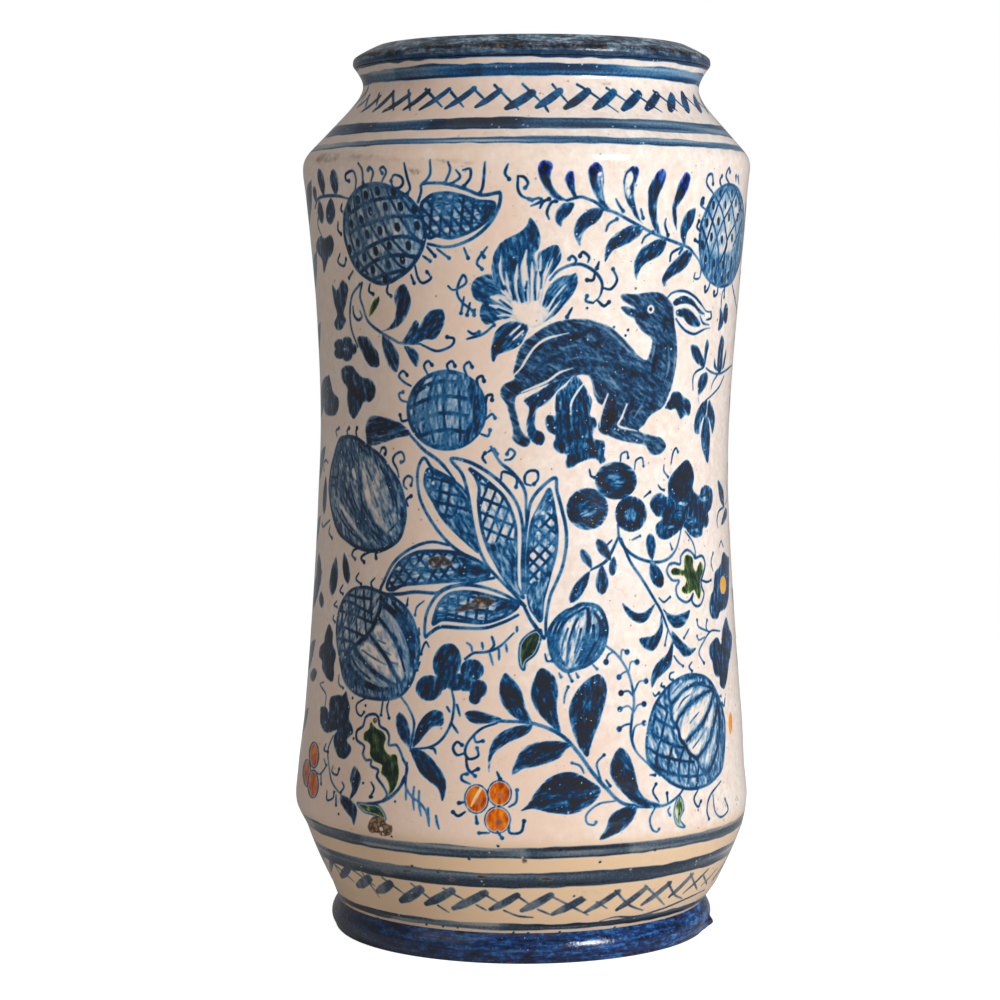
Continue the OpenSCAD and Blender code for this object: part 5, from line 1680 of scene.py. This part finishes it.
def paint_flaws(half):
    """Dark pits, brown smudges and specks in the glaze, chipped bands, and pinholes in the dark paint, pale
    specks that are partly a painted glint.
    """
    for outline, strength in SMUDGES:
        half.wash(curve(outline, closed=True), edge=0, core=strength, rim=2.2, blots=0.9, streak=0.2,
                  layer="wear")
    for centre in PITS:
        half.dot(centre, 1.3, 1.0)
    for chip in BAND_CHIPS:
        half.wash(ellipse(*chip), edge=0.5, core=0.7, rim=0.6, blots=0.5, streak=0.3, layer="wear")
    scatter = np.random.default_rng(half.seed)
    for _ in range(CLAY_SPECKS):
        row = scatter.integers(SPECK_ROWS_OFF, len(half.v) - SPECK_ROWS_OFF)
        column = scatter.integers(SPECK_COLUMNS_OFF, len(half.u) - SPECK_COLUMNS_OFF)
        if half.paint["cobalt"][row, column] < BARE_BELOW:
            place = np.array([half.u[column], half.v[row]])
            radius = scatter.uniform(0.14, 0.36)
            half.speck(place, radius, scatter.uniform(0.4, 0.75), layer="wear")
    # Pale specks in the dark paint: pinholes, partly a painted glint
    for _ in range(PINHOLES_AND_GLINTS):
        row = scatter.integers(len(half.v))
        column = scatter.integers(len(half.u))
        if half.paint["cobalt"][row, column] > DARK_ABOVE:
            place = np.array([half.u[column], half.v[row]])
            half.speck(place, scatter.uniform(0.16, 0.34), 0.06)


def painted(facing, step, seed):
    """A half of the skin with its paint: the back repeats the front, without the large flakes."""
    half = Half(facing, step, seed)
    paint_sides(half)
    paint_upper(half)
    paint_palmette(half)
    paint_middle(half)
    paint_hound(half)
    paint_flowers(half)
    paint_lower_left(half)
    paint_lower_right(half)
    paint_bands(half)
    paint_zigzag(half, NECK_DABS, NECK_TIES, NECK_TONE, 1.42, 3.2)
    paint_zigzag(half, BASE_DABS, BASE_TIES, BASE_TONE, 1.34, 2.6)
    half.stroke(SPLIT_LINE, 2.8, 0.74, ends=(0.4, 0.7))
    half.wash(curve(BASE_FLAKE, closed=True), edge=0, core=0, blots=0, streak=0.3)
    paint_base_tint_and_shade(half)
    paint_flaws(half)
    if facing < 0:
        half.wash(curve(FLAKED, closed=True), edge=0.9, core=1.0, rim=1.0, blots=0.1, streak=0.3,
                  layer="wear")
        half.dot(BROWN_SPOT, 2.7, 1.0, layer="wear")
        for centre, radius in FLAKED_PALE:
            half.dot(centre, radius, 0.1, layer="wear")
    return half


# Meshes


def grid_mesh(name, points, flip, closed):
    """A sheet of quads over a grid of points, with a flat map of the grid."""
    rows, cols = points.shape[:2]
    index = np.arange(rows * cols).reshape(rows, cols)
    if closed:
        index = np.concatenate([index, index[:, :1]], axis=1)
    corners = [index[:-1, :-1], index[:-1, 1:], index[1:, 1:], index[1:, :-1]]
    if flip:
        corners.reverse()
    quads = np.stack(corners, axis=-1).reshape(-1, 4)
    mesh = bpy.data.meshes.new(name)
    mesh.vertices.add(rows * cols)
    mesh.vertices.foreach_set("co", points.astype(np.float32).ravel())
    mesh.loops.add(quads.size)
    mesh.loops.foreach_set("vertex_index", quads.astype(np.int32).ravel())
    mesh.polygons.add(len(quads))
    mesh.polygons.foreach_set("loop_start", np.arange(0, quads.size, 4, dtype=np.int32))
    mesh.polygons.foreach_set("use_smooth", np.ones(len(quads), bool))
    mesh.update(calc_edges=True)
    across, along = np.meshgrid(np.linspace(0, 1, index.shape[1]), np.linspace(0, 1, rows))
    place = np.stack([across, along], axis=-1)
    places = [place[:-1, :-1], place[:-1, 1:], place[1:, 1:], place[1:, :-1]]
    if flip:
        places.reverse()
    chart = mesh.uv_layers.new(name="OFBake")
    chart.uv.foreach_set("vector", np.stack(places, axis=2).astype(np.float32).ravel())
    thing = bpy.data.objects.new(name, mesh)
    bpy.context.scene.collection.objects.link(thing)
    return thing


def set_layer(thing, layer, values):
    made = thing.data.attributes.new(layer, "FLOAT", "POINT")
    made.data.foreach_set("value", values.astype(np.float32).ravel())


def skin_of(half, name):
    theta = half.u / UNROLL_MM
    r = radius_at(half.z)
    x = r[:, None] * np.sin(theta)[None] + lean_at(half.z)[:, None]
    y = half.facing * r[:, None] * np.cos(theta)[None]
    z = np.repeat(half.z[:, None], len(theta), axis=1)
    thing = grid_mesh(name, np.stack([x, y, z], axis=-1), half.facing > 0, False)
    for layer, values in half.paint.items():
        set_layer(thing, layer, np.clip(values, 0, 1.1))
    return thing


def turned(name, profile, step):
    """A sheet turned from a profile of radius and height, which leans with the jar."""
    profile = np.array(profile)
    path = np.concatenate([[0], np.cumsum(np.hypot(*np.diff(profile, axis=0).T))])
    even = np.linspace(0, path[-1], int(path[-1] / step))
    r = np.interp(even, path, profile[:, 0])
    z = np.interp(even, path, profile[:, 1])
    count = int(2 * math.pi * profile[:, 0].max() / step)
    theta = np.linspace(0, 2 * math.pi, count, endpoint=False)
    x = r[:, None] * np.sin(theta)[None] + lean_at(z)[:, None]
    y = -r[:, None] * np.cos(theta)[None]
    return grid_mesh(name, np.stack([x, y, np.repeat(z[:, None], count, axis=1)], axis=-1), False, True)


def heights(low, high, step):
    return np.linspace(low, high, int(abs(high - low) / step) + 2)


# A hair's breadth, by which the measuring rays keep off the solids' edges
HAIR = 0.01 * MM
# The rim's profile, outside up to its top and down inside; the foot's and the lining's
RIM_TURN_Z = TOP_Z - 1.2 * MM
RIM_STEP = 0.3 * MM
rim_outer = [(outer_radius(z), z) for z in heights(RIM_LOW_Z + HAIR, RIM_TURN_Z, RIM_STEP)]
rim_inner = [(inner_radius(z, ["rim_glaze"]), z) for z in heights(RIM_TURN_Z, LINING_TOP_Z + HAIR, RIM_STEP)]
rim_top = [(r, hit(["rim_glaze"], (0, -r, 2 * TOP_Z), (0, 0, -1)).z)
           for r in heights(rim_outer[-1][0], rim_inner[0][0], 0.2 * MM)[1:-1]]
rim_profile = [(radius_at(RIM_LOW_Z), RIM_LOW_Z), *rim_outer, *rim_top, *rim_inner]
foot_wall = [(outer_radius(z), z) for z in heights(FOOT_LOW_Z + 2 * HAIR, FOOT_TOP_Z - 2 * HAIR, 0.25 * MM)]
foot_profile = [(foot_wall[0][0] - 0.5 * MM, 0.05 * MM), (foot_wall[0][0] - 0.1 * MM, 0.4 * MM), *foot_wall]
foot_profile.append((profile_r[0], FOOT_TOP_Z))
lining_profile = [(inner_radius(z, ["lining"]), z)
                  for z in heights(LINING_TOP_Z - 2 * HAIR, FLOOR_Z + 5 * HAIR, 0.8 * MM)]
lining_profile.append((0.2 * MM, lining_profile[-1][1]))

FRONT_SEED = 100
BACK_SEED = 500
front = skin_of(painted(-1, FRONT_STEP, FRONT_SEED), "painted_front")
back = skin_of(painted(1, BACK_STEP, BACK_SEED), "painted_back")
rim = turned("blue_rim", rim_profile, step=0.5 * MM)
foot = turned("blue_foot", foot_profile, step=0.6 * MM)
lining = turned("lining_glaze", lining_profile, step=1.0 * MM)

# A lump that stuck to the foot in the kiln, on the photo's right
SCAR_TURN = math.radians(78)
SCAR_Z = 2.6 * MM
SCAR_SIZE = 1.3 * MM
SCAR_HEIGHT = 2.0 * MM
scar = []
for vertex in foot.data.vertices:
    reach = math.hypot(vertex.co.x, vertex.co.y)
    turn = math.atan2(vertex.co.x, -vertex.co.y) - SCAR_TURN
    near = math.exp(-((reach * turn) ** 2 + (vertex.co.z - SCAR_Z) ** 2) / (2 * SCAR_SIZE ** 2))
    swell = 1 + near * SCAR_HEIGHT / reach
    vertex.co.x *= swell
    vertex.co.y *= swell
    scar.append(near)


# Materials


def linear(red, green, blue):
    """A colour as it looks on screen, 0 to 255, as Blender's linear light."""
    shares = [c / 255 for c in (red, green, blue)]
    return [*[s / 12.92 if s <= 0.04045 else ((s + 0.055) / 1.055) ** 2.4 for s in shares], 1]


class Nodes:
    """Builds a material's node tree, one node per call."""

    def __init__(self, name):
        self.material = bpy.data.materials.new(name)
        self.material.use_nodes = True
        self.tree = self.material.node_tree
        self.shader = self.tree.nodes["Principled BSDF"]

    def add(self, kind, inputs=None, **settings):
        made = self.tree.nodes.new("ShaderNode" + kind)
        for key, value in settings.items():
            setattr(made, key, value)
        for key, value in (inputs or {}).items():
            self.put(made.inputs[key], value)
        return made

    def put(self, socket, value):
        if isinstance(value, bpy.types.NodeSocket):
            self.tree.links.new(value, socket)
        else:
            socket.default_value = value

    def layer(self, name):
        return self.add("Attribute", attribute_name=name).outputs["Fac"]

    def maths(self, operation, a, b=0.0, clamp=False):
        return self.add("Math", {0: a, 1: b}, operation=operation, use_clamp=clamp).outputs[0]

    def noise(self, scale, detail=4.0, roughness=0.55):
        made = self.add("TexNoise", {"Scale": scale, "Detail": detail, "Roughness": roughness})
        self.tree.links.new(self.place(), made.inputs["Vector"])
        return made.outputs["Fac"]

    def place(self):
        found = self.tree.nodes.get("place")
        if found is None:
            found = self.add("TexCoord")
            found.name = "place"
        return found.outputs["Object"]

    def spots(self, scale, size):
        """Scattered round specks: 1 in a speck, 0 outside."""
        cells = self.add("TexVoronoi", {"Scale": scale, "Randomness": 1.0})
        self.tree.links.new(self.place(), cells.inputs["Vector"])
        few = self.add("SeparateColor", {"Color": cells.outputs["Color"]})
        near = self.span(cells.outputs["Distance"], size, 0.6 * size, 0, 1)
        return self.maths("MULTIPLY", near, self.span(few.outputs["Red"], 0.55, 0.9, 0, 1))

    def span(self, value, low, high, to_low, to_high):
        limits = {"From Min": low, "From Max": high, "To Min": to_low, "To Max": to_high}
        return self.add("MapRange", {"Value": value, **limits}).outputs["Result"]

    def ramp(self, value, stops):
        """Colours along a value; a stop is its place, its colour and how much it covers."""
        made = self.add("ValToRGB", {"Fac": value})
        elements = made.color_ramp.elements
        while len(elements) < len(stops):
            elements.new(1)
        for element, (place, colour, cover) in zip(elements, stops):
            element.position = place
            element.color = [*linear(*colour)[:3], cover]
        return made

    def mix(self, share, a, b):
        made = self.add("Mix", data_type="RGBA")
        self.put(made.inputs["Factor"], share)
        for name, value in (("A", a), ("B", b)):
            socket = next(s for s in made.inputs if s.name == name and s.type == "RGBA")
            self.put(socket, value)
        return next(s for s in made.outputs if s.type == "RGBA")

    def bump(self, height, distance, strength):
        made = self.add("Bump", {"Height": height, "Distance": distance, "Strength": strength})
        self.put(self.shader.inputs["Normal"], made.outputs["Normal"])


# Colours as they look in even light
TIN_WHITE = (243, 232, 224)
TIN_PINK = (234, 214, 203)
TIN_WARM = (238, 221, 205)
# Painted shade: the tan below the base's lower corner and the peach on the left and low sides
PAINTED_SHADE_TAN = (226, 190, 148)
PAINTED_SHADE_PEACH = (229, 197, 173)
TIN_PALE = (250, 243, 236)
TIN_HAZE = (206, 178, 156)
PIT_BROWN = (84, 52, 34)
WORN_BLACK = (16, 16, 18)
WORN_CLAY = (122, 84, 52)
CLAY_LIGHT = (196, 152, 112)
CLAY_DARK = (166, 118, 82)
CLAY_GRAIN = (122, 84, 60)
# A blue coat's dark, light, glinting and deep colours: the glinting colour is a painted highlight, the rim's
# light colour a painted sheen, and the foot's deep colour painted shade on its left
RIM_BLUES = [(26, 38, 50), (110, 138, 160), (190, 206, 218), (10, 48, 84)]
FOOT_BLUES = [(2, 14, 40), (14, 72, 144), (64, 130, 196), (10, 20, 38)]
# Each pigment from thin to thick: place, colour and how much it covers
BLUE_STOPS = [
    (0, (210, 210, 206), 0), (0.14, (182, 196, 206), 0.55), (0.3, (130, 166, 192), 0.88),
    (0.48, (66, 124, 164), 0.97), (0.66, (20, 84, 130), 1), (0.84, (14, 50, 88), 1), (1.0, (40, 40, 44), 1),
]
VIVID_STOPS = [
    (0, (200, 205, 215), 0), (0.3, (110, 140, 200), 0.85), (0.5, (52, 92, 180), 0.97),
    (0.7, (24, 56, 150), 1), (0.9, (14, 28, 92), 1), (1.0, (12, 18, 44), 1),
]
GREY_STOPS = [
    (0, (196, 188, 176), 0), (0.3, (140, 144, 142), 0.85), (0.55, (84, 100, 114), 0.97),
    (0.75, (46, 62, 78), 1), (1.0, (26, 30, 38), 1),
]
GREEN_STOPS = [
    (0, (190, 195, 150), 0), (0.3, (130, 165, 70), 0.8), (0.55, (66, 92, 50), 1), (0.8, (40, 58, 42), 1),
    (1.0, (26, 38, 38), 1),
]
ORANGE_STOPS = [
    (0, (235, 190, 140), 0), (0.3, (246, 176, 36), 1), (0.8, (212, 92, 0), 1), (1.0, (150, 60, 0), 1),
]
WEAR_STOPS = [
    (0, (176, 156, 130), 0), (0.3, (116, 100, 80), 0.5), (0.6, (50, 46, 42), 0.9), (0.8, (62, 50, 40), 1),
    (1.0, (160, 118, 78), 1),
]
# How strongly a glaze mirrors
GLAZE_GLOSS = 0.3
FOOT_GLOSS = 0.5


def tin_ground(n):
    """The cream glaze: uneven colour, brown specks and pinholes. Returns its colour and its pinholes."""
    warm = n.span(n.noise(28, 3), 0.35, 0.7, 0, 1)
    pink = n.span(n.noise(60, 5, 0.6), 0.4, 0.75, 0, 0.8)
    ground = n.mix(warm, linear(*TIN_WHITE), linear(*TIN_WARM))
    ground = n.mix(pink, ground, linear(*TIN_PINK))
    pale = n.span(n.noise(230, 5, 0.7), 0.48, 0.66, 0, 0.7)
    ground = n.mix(pale, ground, linear(*TIN_PALE))
    haze = n.span(n.noise(420, 3), 0.42, 0.8, 0, 0.45)
    ground = n.mix(haze, ground, linear(*TIN_HAZE))
    specks = n.maths("MAXIMUM", n.spots(190, 0.12), n.spots(430, 0.16))
    patchy = n.span(n.noise(24, 2), 0.42, 0.62, 0.15, 1)
    pits = n.maths("MULTIPLY", specks, patchy)
    return n.mix(n.maths("MULTIPLY", pits, 0.85), ground, linear(*PIT_BROWN)), pits


def paint_material():
    n = Nodes("painted_tin_glaze")
    colour, pits = tin_ground(n)
    # Painted shade: the warm layer mixes in a darker peach on the left and low sides
    colour = n.mix(n.maths("MULTIPLY", n.layer("warm"), 0.8), colour, linear(*PAINTED_SHADE_PEACH))
    # Painted shade: below the base's lower corner the glaze is tinted tan
    colour = n.mix(n.maths("MULTIPLY", n.layer("grey"), 0.8), colour, linear(*PAINTED_SHADE_TAN))
    for layer, stops in (("copper", GREEN_STOPS), ("orange", ORANGE_STOPS)):
        amount = n.maths("MULTIPLY", n.layer(layer), n.span(n.noise(380, 4), 0.3, 0.7, 0.72, 1.12))
        ramp = n.ramp(amount, stops)
        colour = n.mix(ramp.outputs["Alpha"], colour, ramp.outputs["Color"])
    brush = n.span(n.noise(1300, 3, 0.6), 0.3, 0.72, 0.84, 1.12)
    cobalt = n.maths("MULTIPLY", n.layer("cobalt"), brush)
    blue = n.ramp(cobalt, BLUE_STOPS)
    vivid = n.ramp(cobalt, VIVID_STOPS)
    grey = n.ramp(cobalt, GREY_STOPS)
    pigment = n.mix(n.layer("vivid"), blue.outputs["Color"], vivid.outputs["Color"])
    dull = n.maths("MAXIMUM", n.layer("grey"), n.layer("dull"))
    pigment = n.mix(dull, pigment, grey.outputs["Color"])
    colour = n.mix(blue.outputs["Alpha"], colour, pigment)
    worn = n.maths("MULTIPLY", n.layer("wear"), n.span(n.noise(700, 4), 0.3, 0.65, 0.5, 1.2))
    ramp = n.ramp(worn, WEAR_STOPS)
    colour = n.mix(ramp.outputs["Alpha"], colour, ramp.outputs["Color"])
    n.put(n.shader.inputs["Base Color"], colour)
    n.put(n.shader.inputs["Specular IOR Level"], GLAZE_GLOSS)
    rough = n.span(n.noise(240, 3), 0.3, 0.7, 0.07, 0.15)
    rough = n.maths("ADD", rough, n.maths("MULTIPLY", worn, 0.4), True)
    n.put(n.shader.inputs["Roughness"], n.maths("ADD", rough, n.maths("MULTIPLY", pits, 0.3), True))
    waves = n.maths("MULTIPLY", n.noise(130, 3), 0.8)
    dents = n.maths("SUBTRACT", waves, n.maths("MULTIPLY", n.spots(620, 0.25), 0.5))
    n.bump(n.maths("SUBTRACT", dents, pits), 0.12 * MM, 0.6)
    return n.material


def blue_material(name, blues, axis, deep_from, deep_to, gloss):
    """A cobalt glaze, streaked round the jar, with painted glints in its mottle, darker towards one side,
    which on the foot is painted shade, and worn to clay along its edge.
    """
    n = Nodes(name)
    dark, light, glint, deep = [linear(*blue) for blue in blues]
    drawn_out = n.add("Mapping", {"Vector": n.place(), "Scale": (110, 110, 700)}).outputs["Vector"]
    streaks = n.add("TexNoise", {"Vector": drawn_out, "Scale": 1.0, "Detail": 6.0, "Roughness": 0.65})
    streaked = n.maths("MULTIPLY", streaks.outputs["Fac"], 0.6)
    mottle = n.maths("ADD", streaked, n.maths("MULTIPLY", n.noise(520, 5, 0.7), 0.4))
    # The mottle mixes in the light colour, which on the rim is a painted sheen, and the glinting colour, a
    # painted highlight
    colour = n.mix(n.span(mottle, 0.43, 0.57, 0, 1), dark, light)
    colour = n.mix(n.span(mottle, 0.52, 0.62, 0, 0.85), colour, glint)
    # Darker towards one side: on the foot this is painted shade on its left, away from the key lamp; on the
    # rim it darkens the underside below the worn edge
    along = n.add("SeparateXYZ", {"Vector": n.place()}).outputs[axis]
    colour = n.mix(n.span(along, deep_from, deep_to, 0.8, 0), colour, deep)
    rough = n.span(n.noise(300, 3), 0.3, 0.7, 0.1, 0.24)
    edge = n.maths("MULTIPLY", n.layer("wear"), n.span(n.noise(330, 6, 0.7), 0.4, 0.55, 0, 1), True)
    clay = n.mix(n.span(n.noise(480, 4, 0.7), 0.52, 0.64, 0, 1), linear(*WORN_BLACK), linear(*WORN_CLAY))
    colour = n.mix(edge, colour, clay)
    rough = n.maths("ADD", rough, n.maths("MULTIPLY", edge, 0.2), True)
    n.put(n.shader.inputs["Specular IOR Level"], gloss)
    n.put(n.shader.inputs["Base Color"], colour)
    n.put(n.shader.inputs["Roughness"], rough)
    n.bump(n.maths("SUBTRACT", n.noise(420, 4), n.spots(700, 0.3)), 0.2 * MM, 0.7)
    return n.material


def lining_material():
    n = Nodes("plain_tin_glaze")
    colour, pits = tin_ground(n)
    n.put(n.shader.inputs["Base Color"], colour)
    n.put(n.shader.inputs["Roughness"], n.span(n.noise(200, 3), 0.3, 0.7, 0.14, 0.28))
    n.bump(n.maths("SUBTRACT", n.noise(110, 3), pits), 0.15 * MM, 0.6)
    return n.material


def clay_material():
    n = Nodes("bare_clay")
    grain = n.noise(900, 6, 0.7)
    body = n.mix(n.span(n.noise(60, 4), 0.35, 0.7, 0, 1), linear(*CLAY_LIGHT), linear(*CLAY_DARK))
    body = n.mix(n.span(grain, 0.5, 0.75, 0, 0.6), body, linear(*CLAY_GRAIN))
    n.put(n.shader.inputs["Base Color"], body)
    n.put(n.shader.inputs["Roughness"], n.span(grain, 0.3, 0.7, 0.78, 0.95))
    n.bump(grain, 0.3 * MM, 0.8)
    return n.material


paint = paint_material()
for skin in (front, back):
    skin.data.materials.append(paint)
# Wear along the rim's outer edge, at the foot's lowest edge, and on the lump
RIM_WORN_Z = TOP_Z - 4.3 * MM
RIM_WORN_WIDTH = 0.8 * MM
FOOT_WORN_HEIGHT = 1.8 * MM
FOOT_WEAR = 0.75
rim_z = np.array([v.co.z for v in rim.data.vertices])
foot_z = np.array([v.co.z for v in foot.data.vertices])
set_layer(rim, "wear", np.exp(-((rim_z - RIM_WORN_Z) / RIM_WORN_WIDTH) ** 2))
set_layer(foot, "wear", np.maximum(FOOT_WEAR * smoothstep(1 - foot_z / FOOT_WORN_HEIGHT), scar))
rim_blue = blue_material("blue_rim_glaze", RIM_BLUES, "Z", RIM_WORN_Z - 2 * MM, RIM_WORN_Z, GLAZE_GLOSS)
# The foot darkens towards its left: painted shade
foot_blue = blue_material("blue_foot_glaze", FOOT_BLUES, "X", -60 * MM, 50 * MM, FOOT_GLOSS)
rim.data.materials.append(rim_blue)
foot.data.materials.append(foot_blue)
lining.data.materials.append(lining_material())
clay = clay_material()
for name in ("foot_ring", "floor_disc"):
    nodes[name].data.materials.clear()
    nodes[name].data.materials.append(clay)

for piece, slot in ((front, "tin_glaze"), (back, "tin_glaze"), (rim, "blue_glaze"), (foot, "blue_glaze"),
                    (lining, "tin_glaze")):
    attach(piece, "root")
CLAY_INSIDE = ["base_wall", "lower_drum", "upper_drum", "shoulder_cone", "neck_collar"]
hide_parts("body_glaze", *BANDS)
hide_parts("body_glaze", *BANDS)
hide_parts("rim_glaze", "lip_roll")
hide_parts("foot_glaze")
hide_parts("lining", *CLAY_INSIDE)


# Floor, light and camera


FLOOR_SIDE = 1.6
FLOOR_GREY = (225, 225, 225)
FLOOR_GLOW = 0.86


def stage_floor():
    mesh = bpy.data.meshes.new("floor")
    s = FLOOR_SIDE / 2
    mesh.from_pydata([(-s, -s, 0), (s, -s, 0), (s, s, 0), (-s, s, 0)], [], [(0, 1, 2, 3)])
    floor = bpy.data.objects.new("floor", mesh)
    bpy.context.scene.collection.objects.link(floor)
    n = Nodes("pale_floor")
    n.put(n.shader.inputs["Base Color"], linear(*FLOOR_GREY))
    n.put(n.shader.inputs["Roughness"], 0.9)
    path = n.add("LightPath")
    n.put(n.shader.inputs["Emission Color"], (1, 1, 1, 1))
    glow = n.maths("MULTIPLY", path.outputs["Is Camera Ray"], FLOOR_GLOW)
    n.put(n.shader.inputs["Emission Strength"], glow)
    floor.data.materials.append(n.material)


def lamp(name, azimuth, elevation, distance, side, power):
    """A square soft box that faces the jar's middle, by its direction seen from the jar."""
    light = bpy.data.lights.new(name, "AREA")
    light.shape = "SQUARE"
    light.size = side
    light.energy = power
    thing = bpy.data.objects.new(name, light)
    a = math.radians(azimuth)
    e = math.radians(elevation)
    middle = Vector((0, 0, TOP_Z / 2))
    way = Vector((math.sin(a) * math.cos(e), -math.cos(a) * math.cos(e), math.sin(e)))
    thing.location = middle + way * distance
    thing.rotation_euler = way.to_track_quat("Z", "Y").to_euler()
    bpy.context.scene.collection.objects.link(thing)


WORLD_LIGHT = 0.24


def world_light():
    world = bpy.data.worlds.new("studio")
    bpy.context.scene.world = world
    world.use_nodes = True
    tree = world.node_tree
    path = tree.nodes.new("ShaderNodeLightPath")
    share = tree.nodes.new("ShaderNodeMapRange")
    tree.links.new(path.outputs["Is Camera Ray"], share.inputs["Value"])
    share.inputs["To Min"].default_value = WORLD_LIGHT
    share.inputs["To Max"].default_value = 1.0
    background = tree.nodes["Background"]
    background.inputs["Color"].default_value = (1, 1, 1, 1)
    tree.links.new(share.outputs["Result"], background.inputs["Strength"])


def photo_camera():
    camera = bpy.data.cameras.new("photo_camera")
    camera.sensor_width = SENSOR_MM
    camera.lens = FOCAL_PX * SENSOR_MM / PHOTO_SIDE
    camera.clip_start = 0.01
    camera.clip_end = 20
    thing = bpy.data.objects.new("photo_camera", camera)
    thing.location = EYE
    thing.rotation_euler = (math.pi / 2 + PITCH, 0, YAW)
    bpy.context.scene.collection.objects.link(thing)
    bpy.context.scene.camera = thing


stage_floor()
lamp("key", azimuth=42, elevation=12, distance=1.3, side=0.38, power=13)
lamp("fill", azimuth=-50, elevation=30, distance=1.8, side=1.2, power=2.8)
lamp("top", azimuth=0, elevation=75, distance=1.6, side=1.4, power=2.5)
world_light()
photo_camera()
bpy.context.scene.view_settings.view_transform = "Standard"
